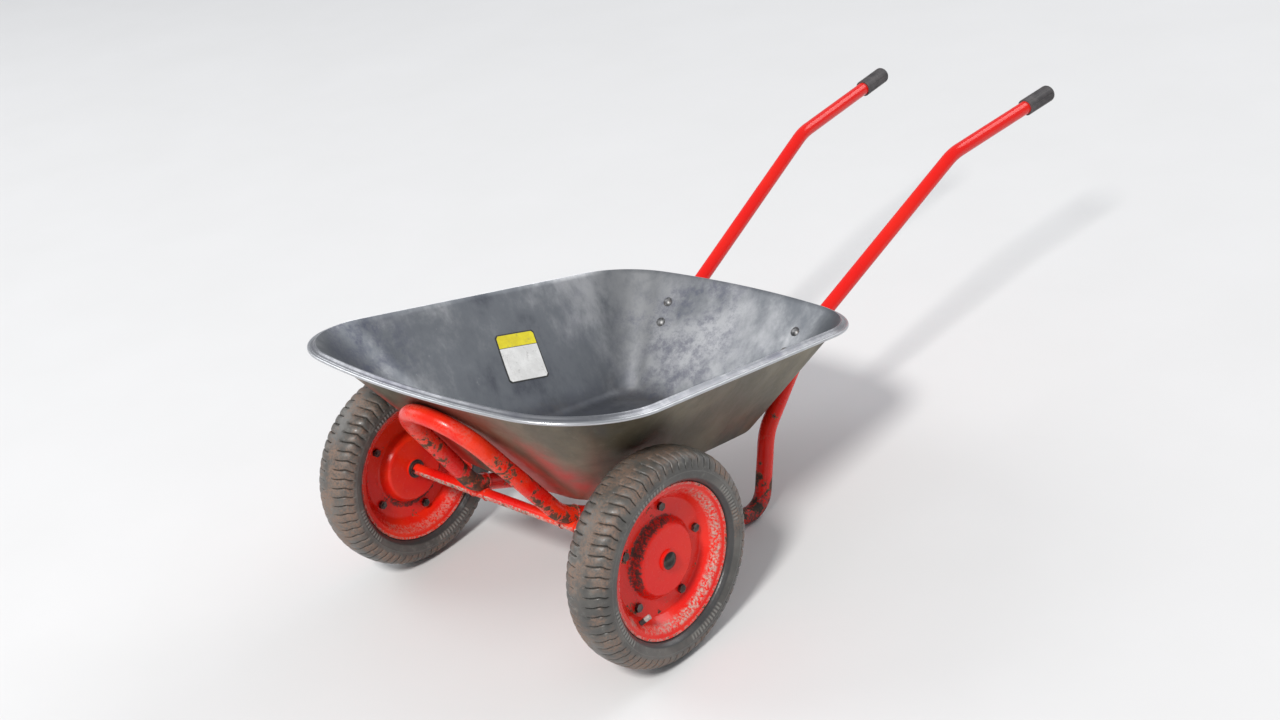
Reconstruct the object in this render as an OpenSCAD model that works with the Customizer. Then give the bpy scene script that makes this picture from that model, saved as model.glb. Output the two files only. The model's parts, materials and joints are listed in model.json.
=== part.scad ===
// Two-wheel wheelbarrow: a galvanised tray on a bent steel tube frame, standing on its wheels and feet.
// Units are millimetres. X runs across, +Y runs back towards the grips, +Z is up.
// The shapes are laid out level, with the axle along X above the origin. parked() then tips everything
// about the axle until the feet stand on the ground, and centres the whole over the origin.

/* [Wheels] */
// Outer radius of a tyre
wheel_r = 180; // [165:1:200]
// Widest width of a tyre
tyre_w = 87; // [80:1:92]
// Distance between the two wheels' middle planes
track = 612; // [590:1:640]
// Thickness of the pressed rim halves
rim_sheet = 2.5; // [2:0.1:3]
// Radius of the rim's rolled lip
lip_r = 129.3; // [127:0.1:129.5]
// Height of the lip's edge above the middle plane
lip_w = 31.3; // [30:0.1:32]
// Radius of the raised drum round the hub
drum_r = 58; // [50:1:60]
// Height of the drum above the middle plane
drum_w = 20.5; // [18:0.5:21]
// Number of bolts that clamp the two rim halves
rim_bolt_count = 5; // [3:1:6]
// Radius of the rim bolt circle
rim_bolt_circle_r = 86; // [82:1:88]
// Turn of the right wheel, as the angle of its first bolt
right_turn = 90; // [0:1:360]
// Turn of the left wheel, as the angle of its first bolt
left_turn = 5; // [0:1:360]

/* [Hub and axle] */
// Diameter of the axle
axle_d = 20; // [18:0.5:22]
// Clearance round the axle in a bush
bush_gap = 0.06; // [0.04:0.01:0.09]
// Outer diameter of the hub tube
hub_d = 36; // [34:0.5:38]
// Half the length of the hub tube
hub_half_w = 23; // [22:0.5:24]
// Free play between a bush and what holds it
end_play = 0.5; // [0.3:0.1:1]

/* [Frame tubes] */
// Outer diameter of the front hoop
hoop_d = 31; // [30:0.1:32]
// Wall thickness of the front hoop
hoop_wall = 2; // [1.5:0.1:2.5]
// Outer diameter of the side tubes
tube_d = 30.4; // [30:0.1:31]
// Wall thickness of the side tubes
tube_wall = 1.7; // [1.5:0.05:1.7]
// Outer diameter of the handle tubes, which plug into the side tubes
handle_d = 27; // [26:0.1:27]
// Wall thickness of the handle tubes
handle_wall = 1.6; // [1.2:0.1:2.5]
// Depth of a handle inside its side tube
handle_plug = 45; // [30:1:60]
// Lean of the hoop's plane above the horizontal
hoop_lean = 45.03; // [44:0.01:45.05]
// Angle at which each hoop leg turns inwards
hoop_taper = 6.92; // [6:0.01:8]
// Bend radius at the top of the hoop
hoop_top_r = 82.5; // [80:0.5:85]
// Bend radius at the foot of each hoop leg
hoop_base_r = 60; // [55:1:65]
// Bend radius of the feet
foot_bend_r = 45; // [42:1:48]
// Bend radius behind the tray
back_bend_r = 75; // [60:1:90]
// Bend radius of the handles
handle_bend_r = 120; // [100:1:140]

/* [Tray] */
// Thickness of the tray's sheet
tray_sheet = 1.2; // [1:0.1:1.5]
// Height of the tray's top edge while the barrow is held level
tray_top_z = 458; // [450:1:465]
// Width of the flange round the tray
flange_w = 14; // [10:1:16]
// Drop of the flange from the tray's edge to its bead
flange_drop = 5; // [3:0.5:6]
// Radius of the bead at the flange's edge
bead_r = 3; // [2:0.1:3.5]
// Height of the tray's floor at its front, held level
floor_front_z = 232; // [230:0.5:234]
// Rise of the floor towards the back
floor_slope = 3.06; // [2.5:0.01:3.5]
// Length of the rounded blend between floor and wall
floor_blend = 14; // [10:1:28]

/* [Grips] */
// Outer diameter of a grip
grip_d = 34; // [32:0.5:36]
// Length of a grip
grip_len = 82; // [75:1:90]
// Number of grooves along a grip
grip_grooves = 10; // [6:1:12]
// Width of a groove
groove_w = 2; // [1:0.1:2]

/* [Hidden] */
$fn = 64;

paint_red = "firebrick";
zinc = "slategray";
steel = "dimgray";
rubber = "darkslategray";

// How a straight tube meets its bend: it reaches this far in, and is this much thinner on each face
seam_lap = 0.5;
seam_step = 0.1;

// How far a cutting shape runs past the face it cuts
cut = 1;

axle_r = axle_d / 2;
tube_r = tube_d / 2;
handle_r = handle_d / 2;
hoop_r = hoop_d / 2;
hub_r = hub_d / 2;
grip_r = grip_d / 2;

// Fasteners: M8 throughout
bolt_r = 4;
bolt_hole_r = 4.3;
hex_flats = 13;
hex_r = hex_flats / 2 / cos(30);
head_h = 5.5;
nut_h = 6.5;
washer_r = 8.5;
washer_t = 1.6;
dome_head_r = 9.5;
dome_head_h = 4.5;
thread_gap = 0.1;

// Bend points of the right side tube and its handle, from the hoop's end to the grip's end, held level
hoop_base = [106, -21, 204.5];
foot_bend = [180.5, 414.5, 92];
leg_bend = [172, 433.5, 250];
back_bend = [150.5, 568, 395];
handle_bend = [183, 976, 680];
handle_end = [205, 1281, 768];
hoop_socket = 30;
side_tube_tail = 58;
rail_dir = unit(foot_bend - hoop_base);
leg_dir = unit(back_bend - leg_bend);
handle_dir = unit(handle_bend - back_bend);
hoop_end = hoop_base + rail_dir * hoop_socket;
side_tube_end = back_bend + handle_dir * side_tube_tail;
handle_start = side_tube_end - handle_dir * handle_plug;
side_tube_path = [hoop_end, foot_bend, leg_bend, back_bend, side_tube_end];
side_tube_bends = [0, foot_bend_r, back_bend_r, back_bend_r, 0];
handle_path = [handle_start, handle_bend, handle_end];
handle_bends = [0, handle_bend_r, 0];

// Bend points of the hoop: its top bend is wide, so the legs' lines meet far beyond the bend
hoop_tip_reach = hoop_base.x / tan(hoop_taper);
hoop_tip = [
    0,
    hoop_base.y - hoop_tip_reach * cos(hoop_lean),
    hoop_base.z + hoop_tip_reach * sin(hoop_lean),
];
hoop_path = [hoop_end, hoop_base, hoop_tip, across(hoop_base), across(hoop_end)];
hoop_bends = [0, hoop_base_r, hoop_top_r, hoop_base_r, 0];

// Tray outlines in plan: [front y, front corner centre, its radius, back corner centre, its radius, back y]
tray_front_y = -266;
rim_plan = [tray_front_y, [190, -75], 174, [165, 432], 146, 594];
floor_plan = [-18, [112, 48], 60, [117, 374], 46, 421.5];
wall_len = 290;
floor_core = 44;
floor_datum_y = -12;
bolt_hole_len = 16;
arc_steps = 6;
corner_steps = 9;
side_steps = 6;
bead_steps = 6;
bead_from = 120;
bead_to = -150;
blend_steps = 4;
wall_steps = 3;

// The barrow tips back about its axle until the lowest point of each foot bend touches the ground
foot_centre = bend_centre(hoop_base, foot_bend, leg_bend, foot_bend_r);
foot_normal = unit(cross(foot_bend - hoop_base, leg_bend - foot_bend));
park_tilt = settle(0, 4);
parked_front_y = tipped_y([0, tray_front_y - bead_r, tray_top_z - flange_drop]);
grip_tip = 6;
parked_back_y = tipped_y(handle_end) + grip_tip;
parked_shift_y = -(parked_front_y + parked_back_y) / 2;

// Tray bolts through the back wall: [share of the way from the corner's end to the next ruling, height]
tray_bolt_seats = [[0.65, 410], [0.41, 376]];
back_corner_end = arc_steps + 2 * corner_steps + side_steps;
tray_bolt_points = [for (seat = tray_bolt_seats) back_wall_point(seat)];
bracket_middle = (tray_bolt_points[0] + tray_bolt_points[1]) / 2;
wall_station = wall_point(back_corner_end, bracket_middle.z);
wall_across = wall_station - wall_point(back_corner_end + 1, bracket_middle.z);
wall_in = unit(cross(wall_across, tray_bolt_points[0] - tray_bolt_points[1]));

// Tray brackets: a channel bolted to the back wall, whose legs hold the side tube between them
bracket_t = 3;
bracket_slack = 0.8;
bracket_gap = 0.5;
head_gap = 0.2;
bracket_half_w = tube_r + bracket_slack + bracket_t;
tray_bracket_len = 76;
clamped_t = tray_sheet + bracket_gap + bracket_t;
bolt_tip = 1.5;
tray_bolt_len = clamped_t + washer_t + nut_h + bolt_tip;
bracket_up = unit(leg_dir - wall_in * (leg_dir * wall_in));
bracket_across = cross(bracket_up, wall_in);
leg_nearest = leg_bend + leg_dir * ((bracket_middle - leg_bend) * leg_dir);
bracket_origin = bracket_middle + bracket_across * ((leg_nearest - bracket_middle) * bracket_across);
tray_bracket_depth = (bracket_middle - leg_nearest) * wall_in;

// Grips
grip_plug_end = 3;
grip_edge = 7;
groove_depth = 0.8;

// Floor brackets, over the rails behind the axle
floor_bracket_y = 85;
floor_bracket_len = 50;
rail_at_bracket = hoop_base + rail_dir * (floor_bracket_y - hoop_base.y) / rail_dir.y;
rail_turn = atan2(rail_dir.x, rail_dir.y);

// Wheel sections are [radius, height above the middle plane]
plate_w = rim_sheet;
barrel_foot = [97.5, plate_w];
barrel_top = [117, 27];
drum_foot_r = 69;
tread_drop = 30;
tyre_wall = 6.5;
tyre_steps = 14;
bush_len = 18;
bush_flange_t = 1.2;
bush_flange_r = hub_r - 1;
hub_wall = 2;
bush_end_w = hub_half_w + bush_flange_t;
cap_base_w = bush_end_w + end_play;
cap_h = 5.6;
cap_r = 15;
cap_wall = 1.2;
axle_in_cap = 1.8;
cap_gap = 0.3;
dome_trim = 0.4;
axle_end_w = cap_base_w + axle_in_cap;
axle_washer_r = 14;
axle_washer_t = 2;
pin_r = 2.5;
pin_len = 32;
pin_w = cap_base_w + axle_washer_t + pin_r;
valve_r = 4.2;
valve_neck_r = 2.6;
valve_angle = 148;
valve_seat = (barrel_foot + barrel_top) / 2;
valve_lean = atan2(barrel_top.x - barrel_foot.x, barrel_top.y - barrel_foot.y);
valve_gap = 0.4;
valve_root = 12;
valve_stem_len = 10;
valve_neck_len = 8;
valve_cap_play = 0.3;

// Label corners on the side wall, as shares of the way back and up: front and back, low then high
label_corners = [[0.419, 0.324], [0.654, 0.293], [0.474, 0.682], [0.67, 0.662]];
label_lift = 0.1;
label_t = 0.3;
label_steps = 6;

// ---- Vectors and paths ----

function unit(v) = v / norm(v);

function across(p) = [-p.x, p.y, p.z];

function mix(a, b, t) = a + (b - a) * t;

function bend_angle(a, b, c) = acos(unit(b - a) * unit(c - b));

// Length of straight tube that a bend takes up on each side of its bend point
function bend_reach(a, b, c, r) = r * tan(bend_angle(a, b, c) / 2);

function bend_centre(a, b, c, r) =
    b + unit(unit(c - b) - unit(b - a)) * r / cos(bend_angle(a, b, c) / 2);

// Y of a level point after the barrow has tipped about its axle
function tipped_y(p) = p.y * cos(park_tilt) + (p.z - wheel_r) * sin(park_tilt);

// Depth of the foot bend's lowest point below its centre, once tipped
function foot_drop(tilt) =
    foot_bend_r * sqrt(1 - pow(foot_normal.z * cos(tilt) - foot_normal.y * sin(tilt), 2));

function settle(tilt, rounds) =
    rounds == 0 ? tilt : settle(
        asin((wheel_r - tube_r - foot_drop(tilt)) / norm([foot_centre.y, foot_centre.z - wheel_r]))
        - atan2(wheel_r - foot_centre.z, foot_centre.y), rounds - 1);

// Open path with the corner at each inner point rounded to its radius
function rounded_path(path, radii, steps = 5) = [
    for (i = [0 : len(path) - 1])
        each (i == 0 || i == len(path) - 1)
            ? [path[i]]
            : corner_arc(path[i - 1], path[i], path[i + 1], radii[i], steps)
];

function corner_arc(a, b, c, r, steps) =
    let (centre = bend_centre(a, b, c, r),
         start = b - unit(b - a) * bend_reach(a, b, c, r),
         finish = b + unit(c - b) * bend_reach(a, b, c, r))
    [for (i = [0 : steps]) centre + unit(mix(start, finish, i / steps) - centre) * r];

// Right-hand offset of a 2D path: each point moves along the mean normal of its two edges
function edge_normal(a, b) = unit([b.y - a.y, a.x - b.x]);

function offset_path(path, d) = [
    for (i = [0 : len(path) - 1])
        let (before = edge_normal(path[max(i - 1, 0)], path[max(i, 1)]),
             after = edge_normal(path[min(i, len(path) - 2)], path[min(i + 1, len(path) - 1)]))
        path[i] + (before + after) * d / (1 + before * after)
];

function reversed(list) = [for (i = [len(list) - 1 : -1 : 0]) list[i]];

function mirrored_section(half) = concat(half, [for (p = reversed(half)) [p.x, -p.y]]);

// ---- Placement ----

module parked() {
    translate([0, parked_shift_y, wheel_r])
        rotate([-park_tilt, 0, 0])
            translate([0, 0, -wheel_r])
                children();
}

// side is 1 on the right and -1 on the left
module on_side(side) {
    if (side < 0) {
        mirror([1, 0, 0]) children();
    } else {
        children();
    }
}

// Places a shape drawn about Z so that Z runs outwards along the axle from a wheel's middle plane
module on_wheel(side) {
    parked()
        on_side(side)
            translate([track / 2, 0, wheel_r])
                rotate([90, 0, 90])
                    children();
}

module on_both_wheels() {
    for (side = [-1, 1]) on_wheel(side) children();
}

// ---- Bent tube ----

module ring_section(outer_r, inner_r) {
    difference() {
        circle(outer_r);
        circle(inner_r);
    }
}

module straight_run(a, b, outer_r, inner_r) {
    d = b - a;
    translate(a)
        rotate([0, acos(d.z / norm(d)), atan2(d.y, d.x)])
            linear_extrude(norm(d))
                ring_section(outer_r, inner_r);
}

module bend_run(a, b, c, r, outer_r, inner_r) {
    centre = bend_centre(a, b, c, r);
    along = unit(b - a);
    outwards = unit(b - along * bend_reach(a, b, c, r) - centre);
    axis = cross(outwards, along);
    multmatrix([
        [outwards.x, along.x, axis.x, centre.x],
        [outwards.y, along.y, axis.y, centre.y],
        [outwards.z, along.z, axis.z, centre.z],
    ])
        rotate_extrude(angle = bend_angle(a, b, c))
            translate([r, 0])
                ring_section(outer_r, inner_r);
}

// Each straight run reaches a little way into its bends, and is a hair thinner so that it lies inside them
module bent_tube(path, bends, outer_r, inner_r) {
    last = len(path) - 1;
    reach = [
        for (i = [0 : last])
            (i == 0 || i == last) ? 0 : bend_reach(path[i - 1], path[i], path[i + 1], bends[i])
    ];
    for (i = [0 : last - 1]) {
        along = unit(path[i + 1] - path[i]);
        from = path[i] + along * max(reach[i] - seam_lap, 0);
        to = path[i + 1] - along * max(reach[i + 1] - seam_lap, 0);
        straight_run(from, to, outer_r - seam_step, inner_r + seam_step);
    }
    for (i = [1 : last - 1]) {
        bend_run(path[i - 1], path[i], path[i + 1], bends[i], outer_r, inner_r);
    }
}

module axle_bar(r, half_len) {
    translate([0, 0, wheel_r])
        rotate([0, 90, 0])
            cylinder(r = r, h = 2 * half_len, center = true);
}

// ---- Frame ----

module front_hoop() {
    color(paint_red)
        parked()
            difference() {
                bent_tube(hoop_path, hoop_bends, hoop_r, hoop_r - hoop_wall);
                axle_bar(axle_r, track / 2);
            }
}

// The rail, foot and leg of one side
module side_tube(side) {
    color(paint_red)
        parked()
            on_side(side)
                difference() {
                    bent_tube(side_tube_path, side_tube_bends, tube_r, tube_r - tube_wall);
                    axle_bar(axle_r, track / 2);
                }
}

module handle(side) {
    color(paint_red)
        parked()
            on_side(side)
                bent_tube(handle_path, handle_bends, handle_r, handle_r - handle_wall);
}

module axle() {
    color(paint_red)
        parked()
            difference() {
                axle_bar(axle_r, track / 2 + axle_end_w);
                for (side = [-1, 1]) translate([side * (track / 2 - pin_w), 0, wheel_r]) stop_pin();
            }
}

module stop_pin() {
    rotate([90, 0, 0])
        cylinder(r = pin_r, h = pin_len, center = true, $fn = 32);
}

module axle_pins() {
    color(steel)
        parked()
            for (side = [-1, 1]) translate([side * (track / 2 - pin_w), 0, wheel_r]) stop_pin();
}

module axle_washers() {
    color(steel)
        on_both_wheels()
            translate([0, 0, -cap_base_w - axle_washer_t])
                difference() {
                    cylinder(r = axle_washer_r, h = axle_washer_t);
                    translate([0, 0, -cut]) cylinder(r = axle_r + thread_gap, h = axle_washer_t + 2 * cut);
                }
}

module dome(base_r, height) {
    ball_r = (base_r * base_r + height * height) / (2 * height);
    intersection() {
        translate([0, 0, height - ball_r]) sphere(ball_r);
        cylinder(r = base_r - dome_trim, h = height + cut);
    }
}

// Domed cap: a ring that grips the axle's end, closed by a thin dome
module axle_cap(side) {
    color(steel)
        on_wheel(side)
            translate([0, 0, cap_base_w])
                difference() {
                    dome(cap_r, cap_h);
                    translate([0, 0, -cut]) cylinder(r = axle_r, h = cut + axle_in_cap + cap_gap);
                    intersection() {
                        dome(cap_r - cap_wall, cap_h - cap_wall);
                        translate([0, 0, cap_wall]) cylinder(r = cap_r, h = cap_h);
                    }
                }
}

module grip(side) {
    dir = unit(handle_end - handle_bend);
    start = handle_end - dir * (grip_len - grip_plug_end);
    color("dimgray")
        parked()
            on_side(side)
                translate(start)
                    rotate([0, acos(dir.z), atan2(dir.y, dir.x)])
                        difference() {
                            grip_body();
                            translate([0, 0, -cut])
                                cylinder(r = handle_r, h = grip_len - grip_plug_end + cut);
                            grip_flutes();
                        }
}

module grip_body() {
    cylinder(r = grip_r, h = grip_len - grip_edge);
    translate([0, 0, grip_len - grip_edge])
        rotate_extrude()
            intersection() {
                union() {
                    translate([grip_r - grip_edge, 0]) circle(grip_edge, $fn = 48);
                    translate([0, -cut]) square([grip_r - grip_edge, grip_edge + cut]);
                }
                square([grip_r, grip_edge]);
            }
}

module grip_flutes() {
    for (i = [0 : grip_grooves - 1])
        rotate([0, 0, i * 360 / grip_grooves])
            translate([grip_r - groove_depth, -groove_w / 2, -cut])
                cube([groove_depth + cut, groove_w, grip_len + 2 * cut]);
}

// ---- Tray ----

function floor_z(y) = floor_front_z + (y - floor_datum_y) * tan(floor_slope);

// Radius of the shallow arc that touches a corner circle and passes its own middle point
function end_arc_r(corner, r, depth) =
    (depth * depth + corner.x * corner.x - r * r) / (2 * (depth - r));

// Angle of the straight side's normal between the two corner circles
function side_angle(plan) =
    let (d = plan[3] - plan[1])
    atan2(-d.x, d.y) + asin((plan[2] - plan[4]) / norm(d));

// Half of an outline in plan, from the front middle to the back middle, drawn inset by a distance
function half_outline(plan, inset) =
    let (front_r = end_arc_r(plan[1], plan[2], plan[1].y - plan[0]),
         back_r = end_arc_r(plan[3], plan[4], plan[5] - plan[3].y),
         front_c = [0, plan[0] + front_r],
         back_c = [0, plan[5] - back_r],
         front_a = atan2(plan[1].y - front_c.y, plan[1].x),
         back_a = atan2(plan[3].y - back_c.y, plan[3].x),
         side_a = side_angle(plan),
         side_from = plan[1] + (plan[2] - inset) * [cos(side_a), sin(side_a)],
         side_to = plan[3] + (plan[4] - inset) * [cos(side_a), sin(side_a)])
    concat(
        arc_points(front_c, front_r - inset, -90, front_a, arc_steps, 0),
        arc_points(plan[1], plan[2] - inset, front_a, side_a, corner_steps, 1),
        [for (i = [1 : side_steps - 1]) mix(side_from, side_to, i / side_steps)],
        arc_points(plan[3], plan[4] - inset, side_a, back_a, corner_steps, 0),
        arc_points(back_c, back_r - inset, back_a, 90, arc_steps, 1)
    );

function arc_points(centre, r, from, to, steps, skip) = [
    for (i = [skip : steps]) let (a = mix(from, to, i / steps)) centre + r * [cos(a), sin(a)]
];

// Whole outline, anticlockwise from the front middle
function outline(plan, inset) =
    let (half = half_outline(plan, inset), n = len(half))
    concat(half, [for (i = [n - 2 : -1 : 1]) [-half[i].x, half[i].y]]);

function at_height(points, z) = [for (p = points) [p.x, p.y, z]];

function on_floor(points) = [for (p = points) [p.x, p.y, floor_z(p.y)]];

function mix_rings(a, b, t) = [for (i = [0 : len(a) - 1]) mix(a[i], b[i], t)];

// Quadratic blend from one ring to another, pulled towards the crease ring
function blend_rings(a, crease, b, t) = mix_rings(mix_rings(a, crease, t), mix_rings(crease, b, t), t);

// Rings of the tray's upper face, from the middle of the floor up to the top of the wall
function face_rings() =
    let (crease = on_floor(outline(floor_plan, 0)),
         top = at_height(outline(rim_plan, flange_w), tray_top_z),
         flat = on_floor(outline(floor_plan, floor_blend)),
         wall_share = floor_blend / wall_len,
         low = mix_rings(crease, top, wall_share))
    concat(
        [on_floor(outline(floor_plan, floor_core))],
        [for (i = [0 : blend_steps]) blend_rings(flat, crease, low, i / blend_steps)],
        [for (i = [1 : wall_steps]) mix_rings(low, top, i / wall_steps)]
    );

// The sheet's lower face: the upper face moved out by the sheet's thickness
function ring_normal(rings, k, i) =
    let (n = len(rings[0]),
         lower = rings[max(k - 1, 0)],
         upper = rings[min(k + 1, len(rings) - 1)])
    unit(cross(rings[k][(i + 1) % n] - rings[k][(i + n - 1) % n], upper[i] - lower[i]));

function under_rings(rings) = [
    for (k = [0 : len(rings) - 1])
        [for (i = [0 : len(rings[0]) - 1]) rings[k][i] + ring_normal(rings, k, i) * tray_sheet]
];

// Rings round the bead, over the top from the flange to its underside
function bead_rings() = [
    for (k = [0 : bead_steps])
        let (a = mix(bead_from, bead_to, k / bead_steps))
        at_height(outline(rim_plan, bead_r - bead_r * cos(a)),
                  tray_top_z - flange_drop - bead_r + bead_r * sin(a))
];

function tray_rings() =
    let (face = face_rings(),
         under = under_rings(face),
         top_under = at_height(outline(rim_plan, flange_w - tray_sheet), tray_top_z - tray_sheet))
    concat(
        face,
        bead_rings(),
        [top_under],
        [for (k = [len(under) - 2 : -1 : 0]) under[k]]
    );

// Closed solid through a stack of equal rings, with flat end caps
module ring_solid(rings) {
    n = len(rings[0]);
    count = len(rings);
    sides = [
        for (k = [0 : count - 2], i = [0 : n - 1])
            let (a = k * n + i, b = k * n + (i + 1) % n, c = b + n, d = a + n)
            each [[a, b, c], [a, c, d]]
    ];
    caps = [[for (i = [n - 1 : -1 : 0]) i], [for (i = [0 : n - 1]) (count - 1) * n + i]];
    points = [for (ring = rings) each ring];
    polyhedron(points = points, faces = concat(sides, caps));
}

// Point at a height on one ruling of the wall's upper face
function wall_point(station, z) =
    let (foot = on_floor(outline(floor_plan, 0))[station],
         edge = at_height(outline(rim_plan, flange_w), tray_top_z)[station])
    mix(foot, edge, (z - foot.z) / (edge.z - foot.z));

function back_wall_point(seat) =
    mix(wall_point(back_corner_end, seat[1]), wall_point(back_corner_end + 1, seat[1]), seat[0]);

// Places a shape on the back wall, with +Z pointing into the tray and +Y up along the side tube
module on_back_wall(p) {
    multmatrix([
        [bracket_across.x, bracket_up.x, wall_in.x, p.x],
        [bracket_across.y, bracket_up.y, wall_in.y, p.y],
        [bracket_across.z, bracket_up.z, wall_in.z, p.z],
    ])
        children();
}

module at_tray_bolts() {
    parked()
        for (side = [-1, 1], p = tray_bolt_points)
            on_side(side)
                on_back_wall(p)
                    children();
}

// Places a bolt's shape over each floor bracket, with +Z pointing up from the floor
module at_floor_bolts() {
    parked()
        for (side = [-1, 1])
            on_side(side)
                translate([rail_at_bracket.x, floor_bracket_y, floor_z(floor_bracket_y)])
                    rotate([floor_slope, 0, 0])
                        children();
}

module bolt_hole() {
    cylinder(r = bolt_hole_r, h = bolt_hole_len, center = true, $fn = 32);
}

module tray() {
    color(zinc)
        difference() {
            parked() ring_solid(tray_rings());
            at_tray_bolts() bolt_hole();
            at_floor_bolts() bolt_hole();
        }
}

// Point on the left side wall: s runs back along the straight side and t runs up the wall
function side_wall_point(s, t, lift) =
    let (low_a = side_angle(floor_plan),
         top_a = side_angle(rim_plan),
         low = side_line(floor_plan, low_a, 0, s),
         top = side_line(rim_plan, top_a, flange_w, s),
         foot = [low.x, low.y, floor_z(low.y)],
         edge = [top.x, top.y, tray_top_z])
    across(mix(foot, edge, t) + lift * unit([foot.z - edge.z, 0, edge.x - foot.x]));

function side_line(plan, a, inset, s) =
    let (n = [cos(a), sin(a)])
    mix(plan[1] + (plan[2] - inset) * n, plan[3] + (plan[4] - inset) * n, s);

module label() {
    n = label_steps;
    points = [
        for (lift = [label_lift, label_lift + label_t], j = [0 : n], i = [0 : n])
            let (low = mix(label_corners[0], label_corners[1], i / n),
                 high = mix(label_corners[2], label_corners[3], i / n),
                 p = mix(low, high, j / n))
            side_wall_point(p[0], p[1], lift)
    ];
    row = n + 1;
    back = row * row;
    quads = [for (j = [0 : n - 1], i = [0 : n - 1]) let (a = j * row + i) [a, a + 1, a + row + 1, a + row]];
    loop = concat(
        [for (i = [0 : n]) i],
        [for (j = [1 : n]) j * row + n],
        [for (i = [n - 1 : -1 : 0]) n * row + i],
        [for (j = [n - 1 : -1 : 1]) j * row]
    );
    front_faces = [for (q = quads) each [[q[0], q[1], q[2]], [q[0], q[2], q[3]]]];
    back_faces = [for (f = front_faces) [f[2] + back, f[1] + back, f[0] + back]];
    rim_faces = [
        for (i = [0 : len(loop) - 1])
            let (a = loop[i], b = loop[(i + 1) % len(loop)])
            each [[b, a, a + back], [b, a + back, b + back]]
    ];
    color("gold")
        parked()
            polyhedron(points = points, faces = concat(front_faces, back_faces, rim_faces));
}

// ---- Brackets and their bolts ----

// Pressed channel: a web under z = 0, with two legs that reach down by depth
module channel(len, depth) {
    translate([-bracket_half_w, -len / 2, -bracket_t]) cube([2 * bracket_half_w, len, bracket_t]);
    for (x = [-bracket_half_w, bracket_half_w - bracket_t])
        translate([x, -len / 2, -depth]) cube([bracket_t, len, depth]);
}

module tray_bracket(side) {
    color(paint_red)
        difference() {
            parked()
                on_side(side)
                    on_back_wall(bracket_origin)
                        translate([0, 0, -tray_sheet - bracket_gap])
                            channel(tray_bracket_len, tray_bracket_depth - tray_sheet - bracket_gap);
            at_tray_bolts() bolt_hole();
        }
}

module floor_bracket(side) {
    drop = floor_z(floor_bracket_y) - tray_sheet - rail_at_bracket.z;
    color(paint_red)
        difference() {
            parked()
                on_side(side)
                    translate([rail_at_bracket.x, floor_bracket_y, floor_z(floor_bracket_y)])
                        rotate([floor_slope, 0, 0])
                            rotate([0, 0, -rail_turn])
                                translate([0, 0, -tray_sheet - bracket_gap])
                                    channel(floor_bracket_len, drop - bracket_gap);
            at_floor_bolts() bolt_hole();
        }
}

module carriage_bolt(grip) {
    translate([0, 0, head_gap]) dome(dome_head_r, dome_head_h);
    translate([0, 0, -grip]) cylinder(r = bolt_r, h = grip + cut, $fn = 32);
}

module washer_below(z) {
    translate([0, 0, z - washer_t])
        difference() {
            cylinder(r = washer_r, h = washer_t, $fn = 48);
            translate([0, 0, -cut]) cylinder(r = bolt_r + thread_gap, h = washer_t + 2 * cut, $fn = 32);
        }
}

module hex_nut() {
    difference() {
        cylinder(r = hex_r, h = nut_h, $fn = 6);
        translate([0, 0, -cut]) cylinder(r = bolt_r + thread_gap, h = nut_h + 2 * cut, $fn = 32);
    }
}

module tray_bolts() {
    color(steel) at_tray_bolts() carriage_bolt(tray_bolt_len);
}

module tray_washers() {
    color(steel) at_tray_bolts() washer_below(-clamped_t);
}

module tray_nuts() {
    color(steel) at_tray_bolts() translate([0, 0, -clamped_t - washer_t - nut_h]) hex_nut();
}

module floor_bolts() {
    color(steel) at_floor_bolts() carriage_bolt(tray_bolt_len);
}

module floor_washers() {
    color(steel) at_floor_bolts() washer_below(-clamped_t);
}

module floor_nuts() {
    color(steel) at_floor_bolts() translate([0, 0, -clamped_t - washer_t - nut_h]) hex_nut();
}

// ---- Wheels ----

// Outer face of a tyre, from the middle of the tread to the widest point of the sidewall
function tyre_crown() = [
    for (i = [0 : tyre_steps])
        let (t = sin(90 * i / tyre_steps))
        [wheel_r - tread_drop + tread_drop * pow(1 - pow(t, 2.6), 1 / 2.2), tyre_w / 2 * t]
];

// Sidewall and bead, then back along the inside to the middle of the tread
function tyre_half_section() = concat(
    tyre_crown(),
    [
        [wheel_r - 37, tyre_w / 2 - 0.6],
        [wheel_r - 43, tyre_w / 2 - 3.5],
        [lip_r + 2.7, lip_w + 3.5],
        [lip_r + 1.9, lip_w - 2.7],
        [lip_r - 8, lip_w - 6.4],
        [lip_r - 9.4, lip_w - 9],
        [lip_r - 13, lip_w - 14],
        [lip_r - 11, lip_w - 17],
        [lip_r - 4, lip_w - 15],
        [lip_r + 3, lip_w - 7],
        [wheel_r - 44, tyre_w / 2 - 10],
        [wheel_r - 34, tyre_w / 2 - tyre_wall],
        [wheel_r - 24, tyre_w / 2 - tyre_wall - 0.5],
        [wheel_r - 14, tyre_w / 2 - tyre_wall - 5],
        [wheel_r - tyre_wall - 1, tyre_w / 2 - 22],
    ]
);

module tyre(side) {
    half = tyre_half_section();
    inside_middle = [[wheel_r - tyre_wall, 0]];
    right_half = concat(half, inside_middle);
    left_half = [for (p = reversed(half)) [p.x, -p.y]];
    color(rubber)
        on_wheel(side)
            rotate_extrude($fn = 128)
                polygon(concat(right_half, left_half));
}

tube_half_outline = [
    [172.6, 0], [171, 18], [164, 30], [154, 35], [144, 35.4], [137, 31],
    [131, 21], [124.5, 13], [116, 11.5], [106, 5], [103.5, 0],
];

function tube_loop(wall) =
    let (half = offset_path(tube_half_outline, wall))
    concat(half, [for (i = [len(half) - 2 : -1 : 1]) [half[i].x, -half[i].y]]);

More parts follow.
